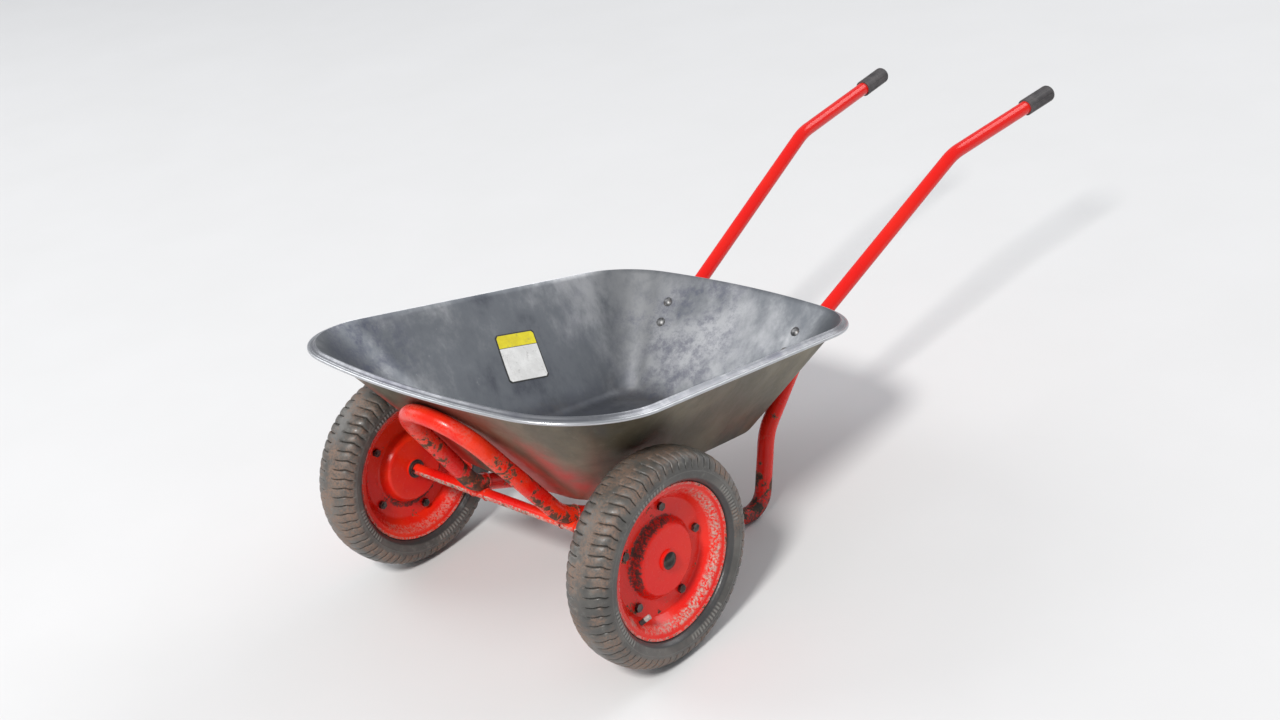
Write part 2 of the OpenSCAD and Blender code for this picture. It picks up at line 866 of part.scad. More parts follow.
// Places a valve part: +Z runs from the tyre's air space out through the rim
module at_valve(side, turn) {
    on_wheel(side)
        rotate([0, 0, turn + valve_angle])
            translate([valve_seat.x, 0, valve_seat.y])
                rotate([0, valve_lean - 90, 0])
                    children();
}

module inner_tube(side, turn) {
    color(rubber) {
        on_wheel(side)
            rotate_extrude()
                difference() {
                    polygon(tube_loop(0));
                    polygon(tube_loop(-2));
                }
        at_valve(side, turn) {
            translate([0, 0, -valve_root]) cylinder(r = valve_r, h = valve_root + valve_stem_len, $fn = 32);
            cylinder(r = valve_neck_r, h = valve_stem_len + valve_neck_len, $fn = 32);
        }
    }
}

module valve_cap(side, turn) {
    wall = 1.2;
    valve_bore_r = valve_neck_r + thread_gap;
    color("silver")
        at_valve(side, turn)
            translate([0, 0, valve_stem_len])
                difference() {
                    cylinder(r = valve_r, h = valve_neck_len + wall + valve_cap_play, $fn = 32);
                    translate([0, 0, -cut])
                        cylinder(r = valve_bore_r, h = valve_neck_len + valve_cap_play + cut, $fn = 32);
                }
}

// Outer face of a rim half, from the hub hole to the lip
rim_face = rounded_path(
    [[hub_r, drum_w], [drum_r, drum_w], [drum_foot_r, plate_w], barrel_foot, barrel_top, [lip_r, lip_w]],
    [0, 7, 5, 6, 5, 0]
);

module rim_half_section() {
    polygon(concat(rim_face, reversed(offset_path(rim_face, rim_sheet))));
}

module at_rim_bolts(turn) {
    for (i = [0 : rim_bolt_count - 1])
        rotate([0, 0, turn + i * 360 / rim_bolt_count])
            translate([rim_bolt_circle_r, 0, 0])
                children();
}

module rim_half() {
    rotate_extrude($fn = 96) rim_half_section();
}

module rim_outer(side, turn) {
    color(paint_red)
        difference() {
            on_wheel(side)
                difference() {
                    rim_half();
                    at_rim_bolts(turn) bolt_hole();
                }
            at_valve(side, turn) cylinder(r = valve_r + valve_gap, h = valve_root, center = true, $fn = 32);
        }
}

module rim_inner(side, turn) {
    color(paint_red)
        on_wheel(side)
            mirror([0, 0, 1])
                difference() {
                    rim_half();
                    at_rim_bolts(turn) bolt_hole();
                }
}

module rim_bolts(side, turn) {
    shank = 2 * rim_sheet + nut_h + bolt_tip;
    color(steel)
        on_wheel(side)
            at_rim_bolts(turn)
                translate([0, 0, rim_sheet]) {
                    cylinder(r = hex_r, h = head_h, $fn = 6);
                    translate([0, 0, -shank]) cylinder(r = bolt_r, h = shank + cut, $fn = 32);
                }
}

module rim_nuts(side, turn) {
    color(steel)
        on_wheel(side)
            at_rim_bolts(turn)
                translate([0, 0, -rim_sheet - nut_h])
                    hex_nut();
}

module hub_tube(side) {
    color(paint_red)
        on_wheel(side)
            linear_extrude(2 * hub_half_w, center = true)
                ring_section(hub_r, hub_r - hub_wall);
}

module bush() {
    translate([0, 0, hub_half_w])
        difference() {
            union() {
                cylinder(r = bush_flange_r, h = bush_flange_t);
                translate([0, 0, -bush_len]) cylinder(r = hub_r - hub_wall, h = bush_len + cut);
            }
            translate([0, 0, -bush_len - cut])
                cylinder(r = axle_r + bush_gap, h = bush_len + bush_flange_t + 2 * cut);
        }
}

module outer_bush(side) {
    color("black") on_wheel(side) bush();
}

module inner_bush(side) {
    color("black") on_wheel(side) mirror([0, 0, 1]) bush();
}

tray();
label();
front_hoop();
side_tube(-1);  // side_tube_left
side_tube(1);  // side_tube_right
handle(-1);  // handle_left
handle(1);  // handle_right
axle();
axle_pins();
axle_washers();
axle_cap(-1);  // axle_cap_left
axle_cap(1);  // axle_cap_right
tray_bracket(-1);  // tray_bracket_left
tray_bracket(1);  // tray_bracket_right
tray_bolts();
tray_washers();
tray_nuts();
floor_bracket(-1);  // floor_bracket_left
floor_bracket(1);  // floor_bracket_right
floor_bolts();
floor_washers();
floor_nuts();
grip(-1);  // grip_left
grip(1);  // grip_right
tyre(-1);  // left_tyre
inner_tube(-1, left_turn);  // left_inner_tube
valve_cap(-1, left_turn);  // left_valve_cap
rim_outer(-1, left_turn);  // left_rim_outer
rim_inner(-1, left_turn);  // left_rim_inner
rim_bolts(-1, left_turn);  // left_rim_bolts
rim_nuts(-1, left_turn);  // left_rim_nuts
hub_tube(-1);  // left_hub_tube
outer_bush(-1);  // left_outer_bush
inner_bush(-1);  // left_inner_bush
tyre(1);  // right_tyre
inner_tube(1, right_turn);  // right_inner_tube
valve_cap(1, right_turn);  // right_valve_cap
rim_outer(1, right_turn);  // right_rim_outer
rim_inner(1, right_turn);  // right_rim_inner
rim_bolts(1, right_turn);  // right_rim_bolts
rim_nuts(1, right_turn);  // right_rim_nuts
hub_tube(1);  // right_hub_tube
outer_bush(1);  // right_outer_bush
inner_bush(1);  // right_inner_bush
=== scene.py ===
import json
import math
from collections import namedtuple

import bpy
import numpy as np
from mathutils import Matrix, Vector


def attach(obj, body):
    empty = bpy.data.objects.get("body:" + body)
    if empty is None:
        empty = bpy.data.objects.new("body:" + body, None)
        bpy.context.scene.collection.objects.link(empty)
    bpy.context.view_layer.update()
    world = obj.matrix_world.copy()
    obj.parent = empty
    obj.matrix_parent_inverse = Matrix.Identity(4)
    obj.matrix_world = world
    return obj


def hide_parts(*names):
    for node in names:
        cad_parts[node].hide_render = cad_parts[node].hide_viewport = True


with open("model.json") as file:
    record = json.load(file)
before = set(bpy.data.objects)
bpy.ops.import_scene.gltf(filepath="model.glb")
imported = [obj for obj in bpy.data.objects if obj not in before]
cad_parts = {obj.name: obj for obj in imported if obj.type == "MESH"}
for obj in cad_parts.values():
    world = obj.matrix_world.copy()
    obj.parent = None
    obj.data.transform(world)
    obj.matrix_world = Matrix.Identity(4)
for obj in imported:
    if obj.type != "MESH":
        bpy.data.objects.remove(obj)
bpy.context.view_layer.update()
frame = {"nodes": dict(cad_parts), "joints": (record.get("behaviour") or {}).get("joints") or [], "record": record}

# ---------------------------------------------------------------- frames

# Metres, with the barrow held level as in the photo: y runs back from the axle, and z up from the floor
WHEEL_R = 0.180
HALF_TRACK = 0.306
FLOOR_SLOPE = math.radians(3.06)

SIDES = {"left": -1, "right": 1}

mounts = {m["name"]: m for m in frame["record"]["mounts"]}
floor_axis = mounts["tray_floor"]["axis"]
AXLE = Vector(frame["joints"][0]["pos_m"])
AXLE.x = 0.0
TILT = math.atan2(floor_axis[1], floor_axis[2]) + FLOOR_SLOPE
# PARK takes a place on the level barrow to the same place on the parked one, which rests on its feet
PARK = Matrix.Translation(AXLE) @ Matrix.Rotation(-TILT, 4, "X") @ Matrix.Translation((0, 0, -WHEEL_R))


# ---------------------------------------------------------------- camera

# The photo's camera, solved from its two wheels
CAMERA_PLACE = Vector((2.0325, -1.8965, 1.2715))
CAMERA_AZIMUTH, CAMERA_ELEVATION = math.radians(42.96), math.radians(16.67)
SENSOR_W, LENS, FAR_CLIP = 36, 49.4, 100


def add_camera():
    flat = math.cos(CAMERA_ELEVATION)
    back = Vector((math.sin(CAMERA_AZIMUTH) * flat, -math.cos(CAMERA_AZIMUTH) * flat,
                   math.sin(CAMERA_ELEVATION)))
    right = Vector((math.cos(CAMERA_AZIMUTH), math.sin(CAMERA_AZIMUTH), 0))
    turn = Matrix((right, back.cross(right), back)).transposed().to_4x4()
    camera = bpy.data.objects.new("camera", bpy.data.cameras.new("camera"))
    camera.data.sensor_width = SENSOR_W
    camera.data.lens = LENS
    camera.data.clip_end = FAR_CLIP
    camera.matrix_world = PARK @ Matrix.Translation(CAMERA_PLACE) @ turn
    bpy.context.scene.collection.objects.link(camera)
    bpy.context.scene.camera = camera


add_camera()


# ---------------------------------------------------------------- materials

class Shade:
    """A principled material and short calls for the nodes that feed it."""

    def __init__(self, name, **fixed):
        self.material = bpy.data.materials.new(name)
        self.material.use_nodes = True
        self.tree = self.material.node_tree
        self.shader = self.tree.nodes["Principled BSDF"]
        for socket, value in fixed.items():
            self.shader.inputs[socket.replace("_", " ")].default_value = value
        self.place = self.tree.nodes.new("ShaderNodeTexCoord").outputs["Object"]

    def put(self, node, socket, value):
        target = node.inputs[socket]
        if isinstance(value, bpy.types.NodeSocket):
            self.tree.links.new(value, target)
        elif isinstance(value, (tuple, list)) and len(value) == 3 and target.type == "RGBA":
            target.default_value = (*value, 1)
        else:
            target.default_value = value

    def mapped(self, turn=(0, 0, 0), move=(0, 0, 0), scale=(1, 1, 1), source=None):
        node = self.tree.nodes.new("ShaderNodeMapping")
        self.put(node, "Vector", source or self.place)
        self.put(node, "Rotation", turn)
        self.put(node, "Location", move)
        self.put(node, "Scale", scale)
        return node.outputs["Vector"]

    def noise(self, scale, detail=4.0, rough=0.55, source=None, twist=0.0):
        node = self.tree.nodes.new("ShaderNodeTexNoise")
        self.put(node, "Vector", source or self.place)
        self.put(node, "Scale", scale)
        self.put(node, "Detail", detail)
        self.put(node, "Roughness", rough)
        self.put(node, "Distortion", twist)
        return node.outputs["Fac"]

    def cells(self, scale):
        node = self.tree.nodes.new("ShaderNodeTexVoronoi")
        self.put(node, "Vector", self.place)
        self.put(node, "Scale", scale)
        return node.outputs["Distance"]

    def axis(self, source, name):
        node = self.tree.nodes.new("ShaderNodeSeparateXYZ")
        self.put(node, "Vector", source)
        return node.outputs[name]

    def math(self, kind, a, b=0.0):
        node = self.tree.nodes.new("ShaderNodeMath")
        node.operation = kind
        self.put(node, 0, a)
        self.put(node, 1, b)
        return node.outputs[0]

    def product(self, *values):
        out = values[0]
        for value in values[1:]:
            out = self.math("MULTIPLY", out, value)
        return out

    def sum(self, a, b):
        return self.math("ADD", a, b)

    def minus(self, a, b):
        return self.math("SUBTRACT", a, b)

    def larger(self, a, b):
        return self.math("MAXIMUM", a, b)

    def length(self, a, b):
        return self.math("SQRT", self.sum(self.product(a, a), self.product(b, b)))

    def ramp(self, value, low, high, out_low=0.0, out_high=1.0):
        """Smooth change from out_low, where value is low, to out_high, where it is high."""
        node = self.tree.nodes.new("ShaderNodeMapRange")
        node.interpolation_type = "SMOOTHSTEP"
        for socket, x in (("Value", value), ("From Min", low), ("From Max", high),
                          ("To Min", out_low), ("To Max", out_high)):
            self.put(node, socket, x)
        return node.outputs["Result"]

    def band(self, value, low, high, soft):
        """1 between low and high, and 0 outside, with edges that fade over soft on each side."""
        rise = self.ramp(value, low - soft, low + soft)
        return self.product(rise, self.ramp(value, high - soft, high + soft, 1, 0))

    def mix(self, share, a, b):
        node = self.tree.nodes.new("ShaderNodeMix")
        node.data_type = "RGBA"
        self.put(node, 0, share)
        self.put(node, 6, a)
        self.put(node, 7, b)
        return node.outputs[2]

    def bump(self, height, strength, distance, under=None):
        node = self.tree.nodes.new("ShaderNodeBump")
        self.put(node, "Height", height)
        self.put(node, "Strength", strength)
        self.put(node, "Distance", distance)
        if under is not None:
            self.put(node, "Normal", under)
        return node.outputs["Normal"]

    def attribute(self, name):
        node = self.tree.nodes.new("ShaderNodeAttribute")
        node.attribute_name = name
        return node.outputs["Fac"]

    def edges(self, radius):
        """1 on a sharp outer edge and 0 on a flat face, from the bend of the shading."""
        node = self.tree.nodes.new("ShaderNodeBevel")
        node.samples = 4
        self.put(node, "Radius", radius)
        true_normal = self.tree.nodes.new("ShaderNodeNewGeometry").outputs["Normal"]
        dot = self.tree.nodes.new("ShaderNodeVectorMath")
        dot.operation = "DOT_PRODUCT"
        self.put(dot, 0, node.outputs["Normal"])
        self.put(dot, 1, true_normal)
        return self.ramp(dot.outputs["Value"], 0.98, 0.8)

    def finish(self, color, rough, normal=None, metallic=None):
        self.put(self.shader, "Base Color", color)
        self.put(self.shader, "Roughness", rough)
        if normal is not None:
            self.put(self.shader, "Normal", normal)
        if metallic is not None:
            self.put(self.shader, "Metallic", metallic)
        return self.material


def level_place(s):
    """Coordinates on the level barrow, which is what PARK starts from."""
    move = Vector((0, 0, WHEEL_R)) - Matrix.Rotation(TILT, 4, "X") @ AXLE
    return s.mapped(turn=(TILT, 0, 0), move=tuple(move))


RED = (0.74, 0.009, 0.006)
ORANGE_RED = (0.86, 0.045, 0.010)
DARK_RED = (0.34, 0.008, 0.006)
RUST = (0.15, 0.055, 0.026)
RUST_LIGHT = (0.33, 0.15, 0.075)
GRIME = (0.045, 0.035, 0.03)
DUST = (0.27, 0.20, 0.165)
DUST_LIGHT = (0.54, 0.44, 0.38)


def painted(name, masks, fade=0.3, base_rough=0.24, grain=52, dimple=0.5):
    """Glossy red paint. masks(s) gives the areas, mostly from 0 to 1, of rust, dust and dark grime. On the rims
    the dust also carries a painted highlight.

    fade is how far the paint has turned orange, base_rough its roughness where it is clean, grain the
    scale of its wear, and dimple the strength of its relief.
    """
    s = Shade(name, Coat_Weight=0.08, Coat_Roughness=0.08, Specular_IOR_Level=0.3)
    broad = s.noise(9, 5, 0.6)
    fine = s.noise(260, 5, 0.65)
    middle = s.noise(grain, 8, 0.72, twist=0.5)
    base = s.mix(s.ramp(broad, 0.35, 0.7, 0, fade), RED, ORANGE_RED)
    base = s.mix(s.ramp(middle, 0.56, 0.8, 0, 0.45), base, DARK_RED)
    rust_area, dust_and_sheen_area, grime_area = masks(s)
    # Rust breaks through where the wear is above a limit that falls inside the rust area
    worn = s.sum(middle, s.product(fine, 0.35))
    limit = s.minus(0.96, s.product(rust_area, 0.36))
    over = s.minus(worn, limit)
    scab = s.ramp(over, -0.004, 0.012)
    core = s.ramp(over, 0.010, 0.055)
    pit = s.product(s.ramp(s.cells(230), 0.30, 0.14), s.ramp(middle, 0.50, 0.62), rust_area)
    edge = s.product(s.edges(0.0010), s.ramp(middle, 0.46, 0.62), 0.8)
    rust = s.larger(s.larger(scab, pit), edge)
    rust_color = s.mix(core, RUST_LIGHT, RUST)
    rust_color = s.mix(s.ramp(s.noise(95, 4), 0.44, 0.60, 0, 0.75), rust_color, GRIME)
    # Dust, with the rims' painted highlight, and grime are broken up by one speckle
    speckle = s.sum(s.product(middle, 0.55), s.product(fine, 0.75))
    dust_and_sheen = s.product(dust_and_sheen_area, s.ramp(speckle, 0.57, 0.72))
    broken = s.product(s.minus(speckle, 0.65), 2.6)
    grime = s.ramp(s.sum(grime_area, broken), 0.25, 0.70)
    grime = s.product(grime, s.ramp(grime_area, 0.0, 0.25), 0.90)
    color = s.mix(dust_and_sheen, base, s.mix(s.ramp(fine, 0.4, 0.6), DUST, DUST_LIGHT))
    color = s.mix(rust, color, rust_color)
    color = s.mix(grime, color, GRIME)
    # What lies on the paint is rough and stands a little above it
    cover = s.larger(s.larger(rust, dust_and_sheen), grime)
    rough = s.ramp(middle, 0.3, 0.75, base_rough - 0.05, base_rough + 0.10)
    rough = s.sum(rough, s.product(cover, 0.45))
    height = s.sum(s.product(fine, 0.05), s.product(cover, fine, 1.3))
    height = s.sum(height, s.product(rust, 0.5))
    normal = s.bump(height, dimple, 0.0006, s.bump(broad, dimple * 0.2, 0.004))
    return s.finish(color, rough, normal)


def hoop_masks(s):
    """Rust gathers in spots low on the hoop and round its ends, with a little dust and grime."""
    level = level_place(s)
    high = s.axis(level, "Z")
    low_part = s.ramp(high, 0.40, 0.26, 0.30, 1.0)
    spots = s.ramp(s.noise(17, 3, 0.6), 0.42, 0.55)
    foot = s.ramp(high, 0.240, 0.200)
    area = s.larger(s.product(low_part, spots), s.product(foot, 0.85))
    return area, s.product(spots, 0.12), s.product(area, 0.22)


def side_tube_masks(s):
    """Rust, dust and grime grow towards the feet."""
    high = s.axis(s.place, "Z")
    leg = s.ramp(high, 0.50, 0.05, 0.10, 0.95)
    spots = s.ramp(s.noise(13, 3, 0.6), 0.40, 0.60)
    return s.product(leg, spots), s.ramp(high, 0.05, 0.0, 0, 0.6), s.ramp(high, 0.10, 0.02, 0, 0.55)


def handle_masks(s):
    """The handles are almost clean, with a few worn spots."""
    return s.ramp(s.noise(13, 3, 0.6), 0.62, 0.8, 0, 0.35), 0.0, 0.0


def axle_masks(s):
    """The axle is dusty and a little rusty on its underside."""
    level = level_place(s)
    facing = s.sum(s.axis(level, "Z"), s.product(s.axis(level, "Y"), 0.7))
    under = s.ramp(facing, WHEEL_R - 0.0045, WHEEL_R - 0.0080)
    patch = s.ramp(s.noise(11, 3, 0.6), 0.36, 0.52, 0.35, 1.0)
    under = s.product(under, patch)
    return s.product(under, 0.55), s.product(under, 1.7), 0.0


def wheel_plane(s):
    """How far each point lies behind the axle and above it."""
    moved = s.mapped(move=(0, -AXLE.y, -AXLE.z))
    return s.axis(moved, "Y"), s.axis(moved, "Z")


# Where grime gathers round each wheel's drum: the shift of its turn, and the radii it lies between
GRIME_TURN = {"left": 2.97, "right": -0.79}
GRIME_BAND = {"left": (0.0640, 0.0770), "right": (0.0585, 0.0725)}
DRUM_STAIN_BAND = (0.070, 0.100)
BARREL_BAND = (0.108, 0.119)
BARREL_DUST_AND_SHEEN = {"left": 0.40, "right": 0.85}
LIP_FROM, LIP_TO = 0.1245, 0.1265
RIM_FADE = {"left": 0.75, "right": 0.35}


def rim_material(word):
    def masks(s):
        behind, above = wheel_plane(s)
        radius, turn = s.length(behind, above), s.math("ARCTAN2", above, behind)
        patch = s.ramp(s.noise(15, 4, 0.62), 0.42, 0.58)
        # Partly painted light: the barrel's pale dust and rust are real wear in patches, plus a painted highlight
        # on the half that faces the light
        half = s.ramp(s.math("SINE", s.sum(turn, 2.2)), -0.4, 0.5)
        barrel_wear_and_sheen = s.product(s.band(radius, *BARREL_BAND, 0.003), s.larger(patch, half))
        lip = s.ramp(radius, LIP_FROM, LIP_TO)
        one_side = s.ramp(s.math("SINE", s.sum(turn, GRIME_TURN[word])), -0.3, 0.75, 0.15, 1.0)
        foot = s.product(s.band(radius, *GRIME_BAND[word], 0.004), one_side)
        stain = s.product(s.band(radius, *DRUM_STAIN_BAND, 0.006), s.ramp(s.noise(19, 4), 0.52, 0.64))
        rust = s.larger(s.larger(s.product(lip, 0.55), s.product(barrel_wear_and_sheen, 0.35)),
                        s.larger(s.product(stain, 0.80), s.product(foot, 0.55)))
        dust_and_sheen = s.larger(s.product(barrel_wear_and_sheen, BARREL_DUST_AND_SHEEN[word]), s.product(lip, 0.6))
        return rust, dust_and_sheen, s.product(foot, 0.62)

    return painted(f"rim_paint_{word}", masks, fade=RIM_FADE[word], base_rough=0.22, grain=105)


ZINC_DARK, ZINC_MIDDLE, ZINC_LIGHT = (0.075, 0.08, 0.098), (0.15, 0.16, 0.175), (0.33, 0.335, 0.345)
VIOLET_STAIN, BROWN_DIRT, CREASE_SHADE = (0.055, 0.06, 0.105), (0.15, 0.11, 0.08), (0.060, 0.062, 0.075)
BRIGHT_SCRATCH = (0.46, 0.47, 0.48)


def tray_material():
    """Inside of the tray: cloudy zinc with scratches and violet stains, dirt low down, and painted shade over the
    floor and the foot of the walls.
    """
    s = Shade("worn_zinc", Specular_IOR_Level=0.5)
    level = level_place(s)
    cloud = s.noise(4.5, 5, 0.6, source=level, twist=0.4)
    patch = s.noise(2.2, 2, 0.5, source=s.mapped(move=(3.4, 1.2, 0.3), source=level))
    streak = s.noise(30, 5, 0.7, source=s.mapped(scale=(1, 1, 0.07), source=level))
    slant = s.mapped(turn=(0.5, 0.9, 0.4), scale=(1, 1, 0.04), source=level)
    slant_streak = s.noise(52, 4, 0.7, source=slant)
    mottle = s.noise(30, 8, 0.78, source=level)
    fine = s.noise(420, 3, 0.6)
    tone = s.sum(s.product(cloud, 0.5), s.product(patch, 0.5))
    tone = s.sum(tone, s.product(s.minus(streak, 0.5), 0.22))
    tone = s.sum(tone, s.product(s.minus(mottle, 0.5), 0.10))
    color = s.mix(s.ramp(tone, 0.34, 0.50), ZINC_DARK, ZINC_MIDDLE)
    color = s.mix(s.ramp(tone, 0.49, 0.66), color, ZINC_LIGHT)
    up = s.axis(level, "Z")
    near_floor = s.ramp(up, 0.30, 0.235)
    stained = s.larger(s.ramp(up, 0.30, 0.235, 0.0, 0.8), s.ramp(s.noise(3.1, 2, source=level), 0.50, 0.64))
    violet = s.product(s.ramp(mottle, 0.42, 0.66), stained, 0.6)
    color = s.mix(violet, color, VIOLET_STAIN)
    scratch = s.larger(s.ramp(streak, 0.68, 0.76), s.ramp(slant_streak, 0.69, 0.75))
    color = s.mix(s.product(scratch, 0.3), color, BRIGHT_SCRATCH)
    brown = s.product(near_floor, s.ramp(s.noise(13, 5, 0.7, source=level), 0.50, 0.66), 0.35)
    color = s.mix(brown, color, BROWN_DIRT)
    # Painted shade: the floor and the foot of the walls are darkened, where shade falls in the tray
    crease = s.ramp(up, 0.285, 0.250)
    color = s.mix(s.product(crease, 0.5), color, CREASE_SHADE)
    rough = s.sum(s.ramp(tone, 0.3, 0.7, 0.48, 0.36), s.product(crease, 0.18))
    rough = s.sum(rough, s.product(s.larger(brown, violet), 0.12))
    height = s.minus(s.product(fine, 0.15), s.product(scratch, 0.3))
    normal = s.bump(height, 0.3, 0.0004, s.bump(cloud, 0.10, 0.006))
    metal = s.ramp(s.larger(brown, violet), 0.0, 0.8, 0.88, 0.6)
    return s.finish(color, rough, normal, metal)


OLIVE_DARK, OLIVE_LIGHT = (0.125, 0.113, 0.080), (0.232, 0.208, 0.145)
PALE_STREAK, DARK_SMUDGE, RED_REFLECTION = (0.34, 0.315, 0.26), (0.05, 0.048, 0.045), (0.52, 0.020, 0.012)
# The painted red reflection follows the hoop on the front wall: two sides up to this height, then an arch of this
# radius
REFLECTION_ARCH_Z, REFLECTION_R = 0.25, 0.105


def tray_outside_material():
    """Outside of the tray: olive zinc with streaks and smudges, and a painted reflection of the red hoop and
    wheels.
    """
    s = Shade("weathered_zinc", Specular_IOR_Level=0.5)
    level = level_place(s)
    streak = s.noise(38, 5, 0.72, source=s.mapped(scale=(1, 1, 0.07), source=level))
    cloud = s.noise(6, 5, 0.6, source=level, twist=0.3)
    fine = s.noise(380, 3, 0.6)
    color = s.mix(s.ramp(cloud, 0.35, 0.65), OLIVE_DARK, OLIVE_LIGHT)
    color = s.mix(s.ramp(streak, 0.55, 0.75, 0, 0.45), color, PALE_STREAK)
    moved = s.mapped(move=(0.7, 2.2, 1.3), source=level)
    smudge = s.ramp(s.noise(3.4, 4, 0.6, source=moved), 0.58, 0.70, 0, 0.85)
    color = s.mix(smudge, color, DARK_SMUDGE)
    sideways = s.math("ABSOLUTE", s.axis(level, "X"))
    behind, high = s.axis(level, "Y"), s.axis(level, "Z")
    above = s.larger(s.minus(high, REFLECTION_ARCH_Z), 0.0)
    off_hoop = s.math("ABSOLUTE", s.minus(s.length(sideways, above), REFLECTION_R))
    spread = s.ramp(s.noise(7, 4, 0.6, source=level), 0.30, 0.55)
    # Painted reflection of the red hoop, following its outline on the front wall
    hoop_reflection = s.product(s.ramp(off_hoop, 0.060, 0.012), s.ramp(behind, 0.02, -0.02), spread, 0.9)
    # Painted reflection of the red wheels, on the front of each side wall next to its wheel
    corner = s.product(s.band(sideways, 0.155, 0.200, 0.022), s.band(high, 0.22, 0.385, 0.04), spread)
    corner = s.product(corner, s.ramp(behind, 0.10, 0.03), 0.85)
    red = s.larger(hoop_reflection, corner)
    color = s.mix(red, color, RED_REFLECTION)
    rough = s.sum(s.ramp(streak, 0.4, 0.7, 0.36, 0.46), s.product(smudge, 0.2))
    normal = s.bump(s.sum(streak, s.product(fine, 0.3)), 0.16, 0.0006)
    metal = s.ramp(s.larger(smudge, red), 0.0, 0.8, 0.85, 0.3)
    return s.finish(color, rough, normal, metal)


BEAD_GREY, BEAD_PALE, BEAD_STAIN = (0.25, 0.255, 0.275), (0.36, 0.365, 0.38), (0.13, 0.13, 0.17)
BEAD_HIGHLIGHT_LOW, BEAD_HIGHLIGHT_HIGH = (0.50, 0.51, 0.53), (0.66, 0.67, 0.69)


def bead_material():
    """Rolled rim of the tray. The mesh's bead value is 1 on the wall's top edge and on the rolled bead, which
    carry a painted highlight.
    """
    s = Shade("rim_zinc", Specular_IOR_Level=0.5)
    worn = s.noise(45, 6, 0.65)
    broad = s.noise(8, 4, 0.6)
    bead = s.attribute("bead")
    color = s.mix(s.ramp(worn, 0.42, 0.66, 0, 0.6), BEAD_GREY, BEAD_PALE)
    color = s.mix(s.ramp(broad, 0.50, 0.66, 0, 0.5), color, BEAD_STAIN)
    # Painted highlight: the wall's top edge and the rolled bead are made bright where light catches them
    color = s.mix(s.product(bead, 0.85), color, s.mix(worn, BEAD_HIGHLIGHT_LOW, BEAD_HIGHLIGHT_HIGH))
    rough, metal = s.ramp(worn, 0.3, 0.7, 0.40, 0.30), s.ramp(broad, 0.4, 0.7, 0.95, 0.8)
    return s.finish(color, rough, s.bump(worn, 0.1, 0.0004), metal)


TYRE_DARK, TYRE_LIGHT, TYRE_PALE = (0.062, 0.060, 0.056), (0.122, 0.116, 0.106), (0.20, 0.195, 0.18)
RAISED_RUBBER, GROOVE_SHADE = (0.22, 0.215, 0.20), (0.034, 0.032, 0.030)
NEAR_RIM_SHADE, BROWN_DUST = (0.032, 0.035, 0.037), (0.26, 0.155, 0.105)
# Radii between which each look changes into the next
TREAD_FROM, TREAD_TO = 0.152, 0.160
SHADE_START_R, SHADE_FULL_R = 0.1385, 0.1365


def tyre_material(word):
    """Grey rubber. The mesh's relief value is 1 on plain rubber, less in a groove and more on a rib."""
    s = Shade(f"tyre_rubber_{word}", Specular_IOR_Level=0.5)
    radius = s.length(*wheel_plane(s))
    relief = s.attribute("relief")
    patch = s.noise(9, 5, 0.65, twist=0.5)
    fine = s.noise(330, 4, 0.65)
    middle = s.noise(60, 6, 0.7)
    color = s.mix(s.ramp(patch, 0.35, 0.68), TYRE_DARK, TYRE_LIGHT)
    color = s.mix(s.ramp(middle, 0.52, 0.72, 0, 0.55), color, TYRE_PALE)
    color = s.mix(s.ramp(relief, 1.05, 1.35, 0, 0.75), color, RAISED_RUBBER)
    tread = s.ramp(radius, TREAD_FROM, TREAD_TO)
    # Painted shade: the side wall darkens towards the rim, where it lies in shade
    near_rim = s.ramp(radius, SHADE_START_R, SHADE_FULL_R)
    color = s.mix(s.product(near_rim, 0.8), color, NEAR_RIM_SHADE)
    dusty = s.product(tread, s.ramp(s.noise(9, 6, 0.72), 0.44, 0.58), s.ramp(fine, 0.36, 0.56))
    wall_dust = s.product(s.ramp(s.noise(12, 4, 0.7), 0.56, 0.66), s.ramp(fine, 0.42, 0.58), 0.8)
    dusty = s.larger(dusty, s.product(wall_dust, s.ramp(near_rim, 0, 1, 1, 0)))
    color = s.mix(s.product(dusty, 0.66), color, BROWN_DUST)
    # Painted shade: grooves, slots and dashes are darkened, where shade falls in them
    color = s.mix(s.ramp(relief, 0.5, 0.0, 0, 0.7), color, GROOVE_SHADE)
    rough = s.sum(s.ramp(middle, 0.3, 0.7, 0.28, 0.44), s.product(dusty, 0.3))
    height = s.sum(s.product(fine, 0.5), s.product(middle, 1.1))
    return s.finish(color, rough, s.bump(height, 0.4, 0.0006, s.bump(patch, 0.35, 0.006)))


STEEL_RUST, STEEL_EDGE = (0.12, 0.06, 0.035), (0.42, 0.40, 0.38)


def steel_material(name, dark, light, rough_low, rough_high, rusty):
    """Small steel parts. rusty, from 0 to 1, is the strength of their rust."""
    s = Shade(name, Specular_IOR_Level=0.5)
    worn = s.noise(120, 5, 0.65)
    fine = s.noise(600, 3)
    color = s.mix(s.ramp(worn, 0.4, 0.65), dark, light)
    rust = s.product(s.ramp(s.noise(85, 5, 0.7), 0.50, 0.62), rusty)
    color = s.mix(rust, color, STEEL_RUST)
    color = s.mix(s.product(s.edges(0.0008), 0.45), color, STEEL_EDGE)
    rough = s.sum(s.ramp(worn, 0.3, 0.7, rough_low, rough_high), s.product(rust, 0.3))
    normal = s.bump(s.sum(worn, s.product(fine, 0.3)), 0.3, 0.0004)
    return s.finish(color, rough, normal, s.ramp(rust, 0.0, 0.8, 0.9, 0.2))


GRIP_DARK, GRIP_LIGHT, GRIP_EDGE = (0.040, 0.036, 0.038), (0.095, 0.086, 0.088), (0.20, 0.185, 0.185)


